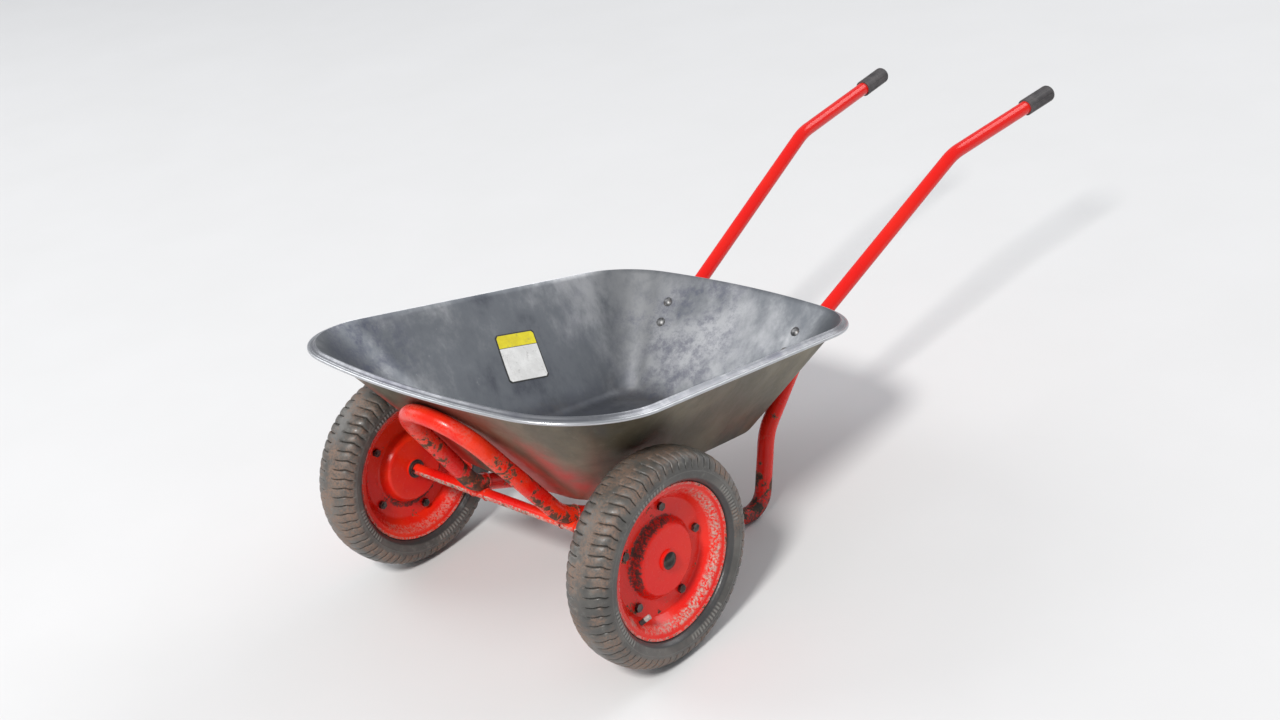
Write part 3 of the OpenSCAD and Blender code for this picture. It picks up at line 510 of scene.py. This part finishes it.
def grip_material():
    """Dark rubber that has gone pale on its ribs."""
    s = Shade("grip_rubber", Specular_IOR_Level=0.4)
    worn = s.noise(45, 5, 0.65)
    color = s.mix(s.ramp(worn, 0.38, 0.66), GRIP_DARK, GRIP_LIGHT)
    color = s.mix(s.product(s.edges(0.0015), 0.5), color, GRIP_EDGE)
    return s.finish(color, s.ramp(worn, 0.3, 0.7, 0.48, 0.64), s.bump(s.noise(700, 3), 0.25, 0.0003))


def plain_material(name, low, high, rough, scale=80):
    """Plastic or rubber that wanders between two colours."""
    s = Shade(name)
    worn = s.noise(scale, 5, 0.65)
    color = s.mix(s.ramp(worn, 0.35, 0.65), low, high)
    return s.finish(color, s.ramp(worn, 0.3, 0.7, rough - 0.06, rough + 0.08), s.bump(worn, 0.15, 0.0004))


WHITE_LOW, WHITE_HIGH = (0.70, 0.70, 0.69), (0.86, 0.86, 0.85)
YELLOW_LOW, YELLOW_HIGH = (0.70, 0.58, 0.01), (0.86, 0.75, 0.02)
LABEL_LINE, LABEL_DIRT = (0.03, 0.03, 0.03), (0.16, 0.14, 0.12)
# As shares of the label's height and of the way from its middle to its edge
YELLOW_FROM, LINE_W, BORDER_FROM = 0.717, 0.012, 0.945


def label_material():
    """A plain sticker: a yellow field over a white one, with a dark border and a line between them."""
    s = Shade("label_print", Specular_IOR_Level=0.4)
    high, border = s.attribute("high"), s.attribute("border")
    worn = s.noise(34, 5, 0.7)
    white = s.mix(s.ramp(worn, 0.35, 0.7), WHITE_LOW, WHITE_HIGH)
    yellow = s.mix(s.ramp(worn, 0.35, 0.7), YELLOW_LOW, YELLOW_HIGH)
    color = s.mix(s.ramp(high, YELLOW_FROM - 0.004, YELLOW_FROM), white, yellow)
    line = s.band(high, YELLOW_FROM - LINE_W, YELLOW_FROM, 0.002)
    line = s.larger(s.ramp(border, BORDER_FROM, BORDER_FROM + 0.005), line)
    color = s.mix(line, color, LABEL_LINE)
    dirt = s.ramp(s.noise(60, 6, 0.75), 0.56, 0.7, 0, 0.45)
    color = s.mix(dirt, color, LABEL_DIRT)
    return s.finish(color, s.ramp(worn, 0.3, 0.7, 0.38, 0.55), s.bump(worn, 0.1, 0.0004))


# ---------------------------------------------------------------- mesh helpers

def mesh_object(name, points, faces, materials, face_slots=None, sharp=math.radians(40)):
    """A smooth mesh whose edges stay sharp above an angle. face_slots picks each face's material."""
    mesh = bpy.data.meshes.new(name)
    mesh.from_pydata([tuple(p) for p in points], [], [tuple(f) for f in faces])
    for material in materials:
        mesh.materials.append(material)
    if face_slots is not None:
        mesh.polygons.foreach_set("material_index", face_slots)
    mesh.validate()
    mesh.update()
    piece = bpy.data.objects.new(name, mesh)
    bpy.context.scene.collection.objects.link(piece)
    mesh.shade_smooth()
    mesh.set_sharp_from_angle(angle=sharp)
    return piece


def point_values(piece, name, values):
    """One number for each point, which a material reads by its name."""
    layer = piece.data.attributes.new(name, "FLOAT", "POINT")
    layer.data.foreach_set("value", np.asarray(values, np.float32))


def ring_faces(rows, count, closed_rows=False):
    """Quads of a grid of rows, each a closed ring of count points."""
    last = rows if closed_rows else rows - 1
    return [(k * count + i, k * count + (i + 1) % count,
             (k + 1) % rows * count + (i + 1) % count, (k + 1) % rows * count + i)
            for k in range(last) for i in range(count)]


# ---------------------------------------------------------------- tray

# A tray outline seen from above: two end arcs, four corner arcs and two straight sides
Plan = namedtuple("Plan", "front_y front_corner front_r back_corner back_r back_y")
RIM_PLAN = Plan(-0.266, (0.190, -0.075), 0.174, (0.165, 0.432), 0.146, 0.594)
FLOOR_PLAN = Plan(-0.018, (0.112, 0.048), 0.060, (0.117, 0.374), 0.046, 0.4215)
TRAY_TOP, FLANGE_W, FLANGE_DROP, BEAD_R = 0.458, 0.014, 0.005, 0.003
SHEET_T, FLANGE_T, WALL_LEN = 0.0012, 0.001, 0.290
# The bead is rolled through BEAD_TURN, from BEAD_FROM
BEAD_FROM, BEAD_TURN = math.radians(150), math.radians(330)
# The floor rises from this height at this y, and blends into the walls over this width
FLOOR_FRONT_Z, FLOOR_FRONT_Y, FLOOR_BLEND = 0.232, -0.012, 0.014
ARC_STEPS, CORNER_STEPS, SIDE_STEPS, BLEND_STEPS, WALL_STEPS, BEAD_STEPS = 14, 22, 14, 8, 26, 20
FLOOR_INSETS = (0.044, 0.036, 0.028, 0.020)
# The flange from the wall's top outwards: inset from the tray's outline, and height over the wall's top
FLANGE = ((0.0136, 0.0003), (0.0128, 0.0001), (0.0118, -0.0006), (0.0102, -0.0028), (0.0085, -0.0043),
          (0.0068, -0.0050))
# The sheet stays flat round its bolts: each bolt's place, and the radius that has no dents
FLAT_SPOTS = ((np.array((0.152, 0.518, 0.393)), 0.06), (np.array((0.122, 0.085, 0.237)), 0.03))
DENT, DENT_FADE = 0.0005, 0.04


def floor_height(y):
    return FLOOR_FRONT_Z + (y - FLOOR_FRONT_Y) * math.tan(FLOOR_SLOPE)


def side_angle(plan):
    """Angle of the straight side's outward normal, where it touches both corner arcs."""
    dx, dy = plan.back_corner[0] - plan.front_corner[0], plan.back_corner[1] - plan.front_corner[1]
    return math.atan2(-dx, dy) + math.asin((plan.front_r - plan.back_r) / math.hypot(dx, dy))


def side_ends(plan, inset):
    """Front and back end of the straight side."""
    turn = side_angle(plan)
    normal = np.array((math.cos(turn), math.sin(turn)))
    return (np.array(plan.front_corner) + (plan.front_r - inset) * normal,
            np.array(plan.back_corner) + (plan.back_r - inset) * normal)


def arc(centre, r, start, end, steps, skip):
    """Points of an arc, without the first ones when skip says so."""
    return [(centre[0] + r * math.cos(start + (end - start) * i / steps),
             centre[1] + r * math.sin(start + (end - start) * i / steps)) for i in range(skip, steps + 1)]


def end_arc_r(corner, r, depth):
    """Radius of the end arc that touches a corner arc and reaches depth beyond its centre."""
    return (depth * depth + corner[0] ** 2 - r * r) / (2 * (depth - r))


def outline(plan, inset):
    """Tray outline in plan, anticlockwise from the middle of the front."""
    front_r = end_arc_r(plan.front_corner, plan.front_r, plan.front_corner[1] - plan.front_y)
    back_r = end_arc_r(plan.back_corner, plan.back_r, plan.back_y - plan.back_corner[1])
    front_c, back_c = (0, plan.front_y + front_r), (0, plan.back_y - back_r)
    front_a = math.atan2(plan.front_corner[1] - front_c[1], plan.front_corner[0])
    back_a = math.atan2(plan.back_corner[1] - back_c[1], plan.back_corner[0])
    side_a = side_angle(plan)
    start, end = side_ends(plan, inset)
    half = arc(front_c, front_r - inset, -math.pi / 2, front_a, ARC_STEPS, 0)
    half += arc(plan.front_corner, plan.front_r - inset, front_a, side_a, CORNER_STEPS, 1)
    half += [tuple(start + (end - start) * i / SIDE_STEPS) for i in range(1, SIDE_STEPS)]
    half += arc(plan.back_corner, plan.back_r - inset, side_a, back_a, CORNER_STEPS, 0)
    half += arc(back_c, back_r - inset, back_a, math.pi / 2, ARC_STEPS, 1)
    return np.array(half + [(-x, y) for x, y in half[-2:0:-1]])


def ring_at(plan, inset, z):
    flat = outline(plan, inset)
    return np.column_stack([flat, np.full(len(flat), z)])


def ring_on_floor(inset):
    flat = outline(FLOOR_PLAN, inset)
    return np.column_stack([flat, [floor_height(y) for y in flat[:, 1]]])


def face_rings():
    """Rings of the sheet's upper face, from the floor up to the top of the wall."""
    crease, flat = ring_on_floor(0), ring_on_floor(FLOOR_BLEND)
    top = ring_at(RIM_PLAN, FLANGE_W, TRAY_TOP)
    low = crease + (top - crease) * (FLOOR_BLEND / WALL_LEN)
    rings = [ring_on_floor(inset) for inset in FLOOR_INSETS]
    for i in range(BLEND_STEPS + 1):
        t = i / BLEND_STEPS
        a, b = flat + (crease - flat) * t, crease + (low - crease) * t
        rings.append(a + (b - a) * t)
    for i in range(1, WALL_STEPS + 1):
        rings.append(low + (top - low) * i / WALL_STEPS)
    return rings


def ring_normals(rings):
    """Unit normals at the points of each ring, which point out of the tray."""
    out = []
    for k, ring in enumerate(rings):
        lower, upper = rings[max(k - 1, 0)], rings[min(k + 1, len(rings) - 1)]
        n = np.cross(np.roll(ring, -1, 0) - np.roll(ring, 1, 0), upper - lower)
        out.append(n / np.linalg.norm(n, axis=1)[:, None])
    return out


def dent(ring):
    """Shallow waves pressed into the sheet by years of use, up to about a millimetre."""
    x, y, z = ring[:, 0], ring[:, 1], ring[:, 2]
    wave = (np.sin(23 * x + 11 * y + 1.3) * np.sin(17 * z + 9 * y)
            + 0.7 * np.sin(41 * y - 19 * x + 0.6) * np.sin(33 * z + 12 * x + 2.0))
    # None near the top of the wall
    fade = np.clip((TRAY_TOP - 0.02 - z) / 0.06, 0, 1)
    for spot, reach in FLAT_SPOTS:
        for side in SIDES.values():
            away = np.linalg.norm(ring - spot * (side, 1, 1), axis=1)
            fade = fade * np.clip((away - reach) / DENT_FADE, 0, 1)
    return DENT * wave * fade


def brim_rings():
    """Rings of the flange and of the bead rolled under its edge."""
    rings = [ring_at(RIM_PLAN, inset, TRAY_TOP + drop) for inset, drop in FLANGE]
    bead_z = TRAY_TOP - FLANGE_DROP - BEAD_R
    for k in range(BEAD_STEPS + 1):
        a = BEAD_FROM - BEAD_TURN * k / BEAD_STEPS
        rings.append(ring_at(RIM_PLAN, BEAD_R - BEAD_R * math.cos(a), bead_z + BEAD_R * math.sin(a)))
    return rings


def build_tray(materials):
    """One closed sheet. The materials are those of its inside, its outside and its brim."""
    face = face_rings()
    normals = ring_normals(face)
    face = [r + n * dent(r)[:, None] for r, n in zip(face, normals)]
    under = [r + n * SHEET_T for r, n in zip(face, normals)]
    brim = brim_rings()
    back = [ring_at(RIM_PLAN, FLANGE_W - SHEET_T, TRAY_TOP - FLANGE_DROP - FLANGE_T)]
    rings = face + brim + back + under[::-1][1:]
    count = len(rings[0])
    points = np.vstack(rings)
    faces = ring_faces(len(rings), count)
    inside, outside, edge = 0, 1, 2
    slots = [inside if q // count < len(face) - 1 else
             edge if q // count < len(face) + len(brim) - 1 else outside for q in range(len(faces))]
    faces += [tuple(reversed(range(count))), tuple(range(len(points) - count, len(points)))]
    slots += [inside, outside]
    flipped = [tuple(reversed(f)) for f in faces]
    tray = mesh_object("tray_sheet", points, flipped, materials, face_slots=slots)
    # The bead value marks the rings that carry the rim's painted highlight
    bead_highlight = np.zeros((len(rings), count))
    bead_highlight[len(face) - 1:len(face) + 1] = 1
    bead_highlight[len(face) + len(FLANGE):len(face) + len(brim)] = 1
    point_values(tray, "bead", bead_highlight.reshape(-1))
    tray.data.transform(PARK)
    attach(tray, "frame")
    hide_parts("tray")


# ---------------------------------------------------------------- label

# Shares of the left wall's length and height: low front, low back, high front and high back
LABEL_CORNERS = ((0.419, 0.324), (0.654, 0.293), (0.474, 0.682), (0.670, 0.662))
LABEL_RINGS, LABEL_AROUND, LABEL_CORNER_R = 9, 64, 0.10
# Lifts of its two faces off the wall
LABEL_FACE, LABEL_BACK = 0.0006, 0.0001


def side_point(plan, inset, s):
    start, end = side_ends(plan, inset)
    return start + (end - start) * s


def label_point(across, up, lift):
    """Point on the left wall: across runs back and up runs up, both from 0 to 1 over the label."""
    front_low, back_low, front_high, back_high = (np.array(c) for c in LABEL_CORNERS)
    low = front_low + (back_low - front_low) * across
    high = front_high + (back_high - front_high) * across
    along, rise = low + (high - low) * up
    foot, edge = side_point(FLOOR_PLAN, 0, along), side_point(RIM_PLAN, FLANGE_W, along)
    foot, edge = np.array((*foot, floor_height(foot[1]))), np.array((*edge, TRAY_TOP))
    point = foot + (edge - foot) * rise
    inward = np.array((foot[2] - edge[2], 0, edge[0] - foot[0]))
    inward = inward / np.linalg.norm(inward)
    mirror = (-1, 1, 1)
    point = point + inward * (lift - dent(point[None, :] * mirror)[0])
    return point * mirror


def rounded_square(turn):
    """Point of a square of half width 1 with rounded corners, in the direction turn."""
    c, d = math.cos(turn), math.sin(turn)
    square = 1 / max(abs(c), abs(d))
    u, v = c * square, d * square
    straight = 1 - LABEL_CORNER_R
    cut_u, cut_v = max(abs(u) - straight, 0), max(abs(v) - straight, 0)
    cut = math.hypot(cut_u, cut_v)
    if cut_u > 0 and cut_v > 0 and cut > LABEL_CORNER_R:
        u = math.copysign(straight + cut_u * LABEL_CORNER_R / cut, u)
        v = math.copysign(straight + cut_v * LABEL_CORNER_R / cut, v)
    return u, v


def build_label():
    """A thin sheet that follows the dented wall, made of rings from its middle to its border."""
    points, border, high = [], [], []
    for lift in (LABEL_FACE, LABEL_BACK):
        for k in range(LABEL_RINGS + 1):
            share = k / LABEL_RINGS
            for i in range(LABEL_AROUND):
                u, v = rounded_square(2 * math.pi * (i + 0.5) / LABEL_AROUND)
                across, up = 0.5 + 0.5 * u * share, 0.5 + 0.5 * v * share
                points.append(label_point(across, up, lift))
                border.append(share)
                high.append(up)
    top = ring_faces(LABEL_RINGS + 1, LABEL_AROUND)
    half = (LABEL_RINGS + 1) * LABEL_AROUND
    faces = top + [tuple(q + half for q in reversed(f)) for f in top]
    edge = LABEL_RINGS * LABEL_AROUND
    for i in range(LABEL_AROUND):
        after = (i + 1) % LABEL_AROUND
        faces.append((edge + i, edge + half + i, edge + half + after, edge + after))
    label = mesh_object("side_label", points, faces, [label_material()])
    point_values(label, "border", border)
    point_values(label, "high", high)
    label.data.transform(PARK)
    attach(label, "frame")
    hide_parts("label")


build_tray([tray_material(), tray_outside_material(), bead_material()])
build_label()


# ---------------------------------------------------------------- tyres

TYRE_W = 0.087
TREAD_DROP = 0.030
CROWN_STEPS, STEPS_PER_RIB = 34, 16
# Powers of the crown's curve across the tyre: depth first, then height
ACROSS_POWER, HEIGHT_POWER = 2.6, 2.2
# Side wall and bead, from the shoulder down to the rim: radius and half width
WALL = ((0.1485, 0.0434), (0.1462, 0.0433), (0.1439, 0.0430), (0.1415, 0.0425), (0.1392, 0.0418),
        (0.1370, 0.0402), (0.1350, 0.0378), (0.1333, 0.0358), (0.1320, 0.0342), (0.1313, 0.0318),
        (0.1311, 0.0286), (0.1285, 0.0275))
# The tyre's inner face, which closes the ring
INNER_FACE = ((0.122, 0.0275), (0.120, 0.0), (0.122, -0.0275))

TREAD_RIBS, TREAD_DEPTH = 66, 0.0032
GROOVE_R, GROOVE_SOFT, GROOVE_DEPTH = 0.1530, 0.0009, 0.0009
DASH_R, DASH_SOFT, DASH_DEPTH = 0.1556, 0.0012, 0.0010
WALL_RING_RADII, WALL_RING_SOFT, WALL_RING_H = (0.1366, 0.1500), 0.0006, 0.0006
WALL_RIBS, WALL_RIB_GROUPS, WALL_RIB_SHARE, WALL_RIB_H = 132, 4, 0.36, 0.0013
TREAD_SHARP = math.radians(60)
# The lift that counts as a full change of the relief value, and the highest value
RELIEF_STEP, RELIEF_MAX = 0.0028, 1.5


def tyre_profile():
    """Outer profile from one bead to the other: radius and place along the axle."""
    crown = []
    for i in range(CROWN_STEPS + 1):
        t = math.sin(math.pi / 2 * i / CROWN_STEPS)
        rise = (1 - t ** ACROSS_POWER) ** (1 / HEIGHT_POWER)
        crown.append((WHEEL_R - TREAD_DROP + TREAD_DROP * rise, TYRE_W / 2 * t))
    half = crown + list(WALL)
    return np.array([(r, -w) for r, w in half[:0:-1]] + half)


def smooth_step(x, low, high):
    t = np.clip((x - low) / (high - low), 0, 1)
    return t * t * (3 - 2 * t)


def hump(x, middle, soft):
    """1 at the middle, and close to 0 beyond twice soft on both sides."""
    return np.exp(-((x - middle) / soft) ** 2)


def tread_lift(angle, r, w):
    """The tread's slots, the shoulder's groove and the dashes beside it, all cut in, so below 0."""
    share = np.abs(w) / (TYRE_W / 2)
    # Each rib curves back towards the shoulder and hooks at its end
    bow = 0.30 * smooth_step(share, 0.15, 0.95) ** 2 - 0.20 * smooth_step(share, 0.80, 0.97)
    half_turn = np.where(w > 0, 0.0, 0.5)
    phase = (angle[:, None] * TREAD_RIBS / (2 * math.pi) + bow[None, :] + half_turn[None, :]) % 1.0
    rib = smooth_step(phase, 0.0, 0.10) * (1 - smooth_step(phase, 0.90, 1.0))
    on_tread = smooth_step(share, 0.12, 0.36) * (1 - smooth_step(-r, -0.1575, -0.1550))
    depth = np.where(r > WHEEL_R - TREAD_DROP, TREAD_DEPTH * on_tread, 0)[None, :]
    lift = -depth * (1 - rib) - 0.35 * depth * (1 - np.sin(np.pi * phase))
    outer = share > 0.5
    lift = lift - GROOVE_DEPTH * (hump(r, GROOVE_R, GROOVE_SOFT) * outer)[None, :]
    dash = (np.abs(phase - 0.5) > 0.36) * hump(r, DASH_R, DASH_SOFT) * outer
    return lift - DASH_DEPTH * dash


def wall_lift(angle, r, w):
    """Two thin rings on the side wall, and groups of short radial ribs between them."""
    outer = np.abs(w) > TYRE_W / 4
    rings = sum(hump(r, ring_r, WALL_RING_SOFT) * outer for ring_r in WALL_RING_RADII)
    between = smooth_step(r, 0.1388, 0.1396) * (1 - smooth_step(r, 0.1468, 0.1476)) * outer
    phase = (angle * WALL_RIBS / (2 * math.pi)) % 1.0
    ribs = smooth_step(phase, 0.0, 0.25) * (1 - smooth_step(phase, 0.5, 0.75))
    group = (angle * WALL_RIB_GROUPS / (2 * math.pi)) % 1.0 < WALL_RIB_SHARE
    return WALL_RING_H * rings[None, :] + WALL_RIB_H * (ribs * group)[:, None] * between[None, :]


def build_tyre(word):
    side = SIDES[word]
    profile = tyre_profile()
    along = np.gradient(profile, axis=0)
    normal = np.column_stack([along[:, 1], -along[:, 0]])
    normal /= np.linalg.norm(normal, axis=1)[:, None]
    turns = TREAD_RIBS * STEPS_PER_RIB
    angle = np.arange(turns) / turns * 2 * math.pi
    r, w = profile[:, 0], profile[:, 1]
    lift = tread_lift(angle, r, w) + wall_lift(angle, r, w)
    lifted_r = r + lift * normal[:, 0]
    lifted_w = w + lift * normal[:, 1]
    turned = angle[:, None]
    outside = np.stack([lifted_w, lifted_r * np.cos(turned), lifted_r * np.sin(turned)], axis=2)
    closing = np.array([[(w_in, r_in * math.cos(a), r_in * math.sin(a)) for r_in, w_in in INNER_FACE]
                        for a in angle])
    points = np.concatenate([outside, closing], axis=1)
    relief = np.clip(1 + lift / RELIEF_STEP, 0, RELIEF_MAX)
    relief = np.concatenate([relief, np.ones((turns, len(INNER_FACE)))], axis=1)
    faces = [f[::-1] for f in ring_faces(turns, points.shape[1], closed_rows=True)]
    material = tyre_material(word)
    tyre = mesh_object(f"tyre_tread_{word}", points.reshape(-1, 3), faces, [material], sharp=TREAD_SHARP)
    point_values(tyre, "relief", relief.reshape(-1))
    tyre.data.transform(Matrix.Translation((side * HALF_TRACK, AXLE.y, AXLE.z)))
    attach(tyre, f"wheel_{word}")
    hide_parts(f"{word}_tyre")


for wheel in SIDES:
    build_tyre(wheel)


# ---------------------------------------------------------------- welds

# The two ends of the right side tube's straight rail, on the level barrow
HOOP_BASE = Vector((0.106, -0.021, 0.2045))
FOOT_BEND = Vector((0.1805, 0.4145, 0.092))
RAIL_DIR = (FOOT_BEND - HOOP_BASE).normalized()
HOOP_SOCKET = 0.030
HOOP_WELD_R, HOOP_WELD_T = 0.0156, 0.0019
AXLE_WELD_R, AXLE_WELD_T, AXLE_WELD_SHIFT = 0.0106, 0.0021, 0.0165
STEPS_PER_RIPPLE, WELD_ACROSS = 5, 8
# Height of a bead as a share of its width
WELD_FLAT = 0.62


def weld_masks(s):
    """Welds are rusty in patches, and dirty all over."""
    return s.ramp(s.noise(60, 4), 0.45, 0.6, 0.2, 0.8), 0.25, 0.3


weld_paint = painted("weld_paint", weld_masks, fade=0.5, base_rough=0.3)


def weld_ring(name, centre, normal, radius, thick, ripples, seed):
    """A rippled weld bead round a tube, with ripples of slightly different sizes."""
    n = Vector(normal).normalized()
    a = n.orthogonal().normalized()
    b = n.cross(a)
    around = ripples * STEPS_PER_RIPPLE
    sizes = np.random.default_rng(seed).uniform(0.75, 1.2, ripples)
    points = []
    for i in range(around):
        turn = i / around * 2 * math.pi
        along = i / around * ripples
        size = thick * sizes[int(along) % ripples] * (0.72 + 0.28 * math.sin(math.pi * (along % 1.0)))
        out = a * math.cos(turn) + b * math.sin(turn)
        middle = Vector(centre) + out * radius
        for j in range(WELD_ACROSS):
            u = j / WELD_ACROSS * 2 * math.pi
            points.append(middle + out * (math.cos(u) * size * WELD_FLAT) + n * (math.sin(u) * size))
    faces = [f[::-1] for f in ring_faces(around, WELD_ACROSS, closed_rows=True)]
    piece = mesh_object(name, points, faces, [weld_paint])
    piece.data.transform(PARK)
    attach(piece, "frame")


over_axle = HOOP_BASE + RAIL_DIR * (-HOOP_BASE.y / RAIL_DIR.y)

for word, side in SIDES.items():
    flip = Vector((side, 1, 1))
    seam, rail = (HOOP_BASE + RAIL_DIR * HOOP_SOCKET) * flip, RAIL_DIR * flip
    weld_ring(f"hoop_weld_{word}", seam, rail, HOOP_WELD_R, HOOP_WELD_T, ripples=34, seed=3 + side)
    for end, shift in (("in", -AXLE_WELD_SHIFT), ("out", AXLE_WELD_SHIFT)):
        spot = Vector((side * over_axle.x + shift, 0, WHEEL_R))
        weld_ring(f"axle_weld_{word}_{end}", spot, (1, 0, 0), AXLE_WELD_R, AXLE_WELD_T, ripples=22, seed=11)

# ---------------------------------------------------------------- pieces that keep their CAD shape

BLACK_STEEL, GREY_STEEL, OILY_STEEL = (0.05, 0.047, 0.045), (0.15, 0.14, 0.135), (0.085, 0.08, 0.075)
BOLT_DARK, BOLT_LIGHT, OIL = (0.12, 0.12, 0.125), (0.30, 0.30, 0.30), (0.03, 0.028, 0.026)
NYLON_DARK, NYLON_LIGHT = (0.02, 0.02, 0.02), (0.06, 0.055, 0.05)
TUBE_DARK, TUBE_LIGHT = (0.03, 0.03, 0.03), (0.07, 0.07, 0.068)
CAP_DARK, CAP_LIGHT = (0.30, 0.29, 0.27), (0.5, 0.48, 0.45)


def dress(names, material):
    """Gives CAD nodes a material and leaves their shape as it is."""
    for name in names:
        node = frame["nodes"][name]
        node.data.materials.clear()
        node.data.materials.append(material)


def dress_tubes():
    side_paint = painted("side_tube_paint", side_tube_masks, base_rough=0.22)
    dress([f"side_tube_{w}" for w in SIDES], side_paint)
    dress([f"{k}_bracket_{w}" for k in ("tray", "floor") for w in SIDES], side_paint)
    dress(["front_hoop"], painted("hoop_paint", hoop_masks, fade=0.85, base_rough=0.28, grain=76))
    handle_paint = painted("handle_paint", handle_masks, fade=0.15, base_rough=0.15, dimple=0.12)
    dress([f"handle_{w}" for w in SIDES], handle_paint)
    dress(["axle"], painted("axle_paint", axle_masks, fade=0.8, base_rough=0.28))
    dress([f"grip_{w}" for w in SIDES], grip_material())


def dress_wheels():
    for w in SIDES:
        dress([f"{w}_{k}" for k in ("rim_outer", "rim_inner", "hub_tube", "outer_bush")], rim_material(w))
    dress([f"{w}_inner_bush" for w in SIDES], plain_material("nylon", NYLON_DARK, NYLON_LIGHT, 0.45))
    dress([f"{w}_inner_tube" for w in SIDES], plain_material("tube_rubber", TUBE_DARK, TUBE_LIGHT, 0.6))
    pale = plain_material("valve_plastic", CAP_DARK, CAP_LIGHT, 0.45, 200)
    dress([f"{w}_valve_cap" for w in SIDES], pale)


def dress_fasteners():
    """Dark nuts, washers, pins and wheel bolts, brighter tray and floor bolts, and oily axle caps."""
    small = [n for n in frame["nodes"] if n.endswith(("bolts", "nuts", "washers", "pins"))]
    dress(small, steel_material("dark_fastener", BLACK_STEEL, GREY_STEEL, 0.30, 0.46, 0.4))
    bolts = steel_material("tray_fastener", BOLT_DARK, BOLT_LIGHT, 0.38, 0.52, 0.35)
    dress(["tray_bolts", "floor_bolts"], bolts)
    caps = steel_material("oily_cap", OIL, OILY_STEEL, 0.10, 0.20, 0.2)
    dress([f"axle_cap_{w}" for w in SIDES], caps)


dress_tubes()
dress_wheels()
dress_fasteners()

# ---------------------------------------------------------------- floor and light

FLOOR_REACH = 40.0
FLOOR_LOW, FLOOR_HIGH = (0.70, 0.70, 0.70), (0.74, 0.74, 0.745)
SKY, SKY_STRENGTH = (0.80, 0.83, 0.88, 1), 0.50
WARM, WHITE = (1.0, 0.98, 0.95), (1, 1, 1)
# Every lamp is moved this many times farther from the barrow, and made larger and stronger to match
LAMP_AWAY = 2.4
LAMP_AIM = Vector((0, 0, 0.25))


def add_floor():
    s = Shade("pale_floor")
    material = s.finish(s.mix(s.noise(3, 4), FLOOR_LOW, FLOOR_HIGH), 0.8)
    corners = [(x * FLOOR_REACH, y * FLOOR_REACH, 0) for x, y in ((-1, -1), (1, -1), (1, 1), (-1, 1))]
    mesh_object("floor", corners, [(0, 1, 2, 3)], [material])


def add_light(name, at, size, power, color):
    """A round lamp that points at the barrow."""
    lamp = bpy.data.lights.new(name, "AREA")
    lamp.shape = "DISK"
    lamp.size = size * LAMP_AWAY
    lamp.energy = power * LAMP_AWAY ** 2
    lamp.color = color
    holder = bpy.data.objects.new(name, lamp)
    holder.location = LAMP_AIM + (Vector(at) - LAMP_AIM) * LAMP_AWAY
    holder.rotation_euler = (LAMP_AIM - holder.location).to_track_quat("-Z", "Y").to_euler()
    bpy.context.scene.collection.objects.link(holder)


def add_world():
    world = bpy.data.worlds.new("studio")
    bpy.context.scene.world = world
    world.use_nodes = True
    background = world.node_tree.nodes["Background"]
    background.inputs["Color"].default_value = SKY
    background.inputs["Strength"].default_value = SKY_STRENGTH


add_floor()
add_world()
add_light("key", PARK @ Vector((1.3, -3.4, 3.0)), 0.9, 190, WARM)
add_light("fill", (-2.8, -1.2, 2.2), 2.5, 40, WHITE)
add_light("back", (0.8, 3.2, 2.6), 2.5, 50, WHITE)

bpy.context.scene.view_settings.view_transform = "Standard"
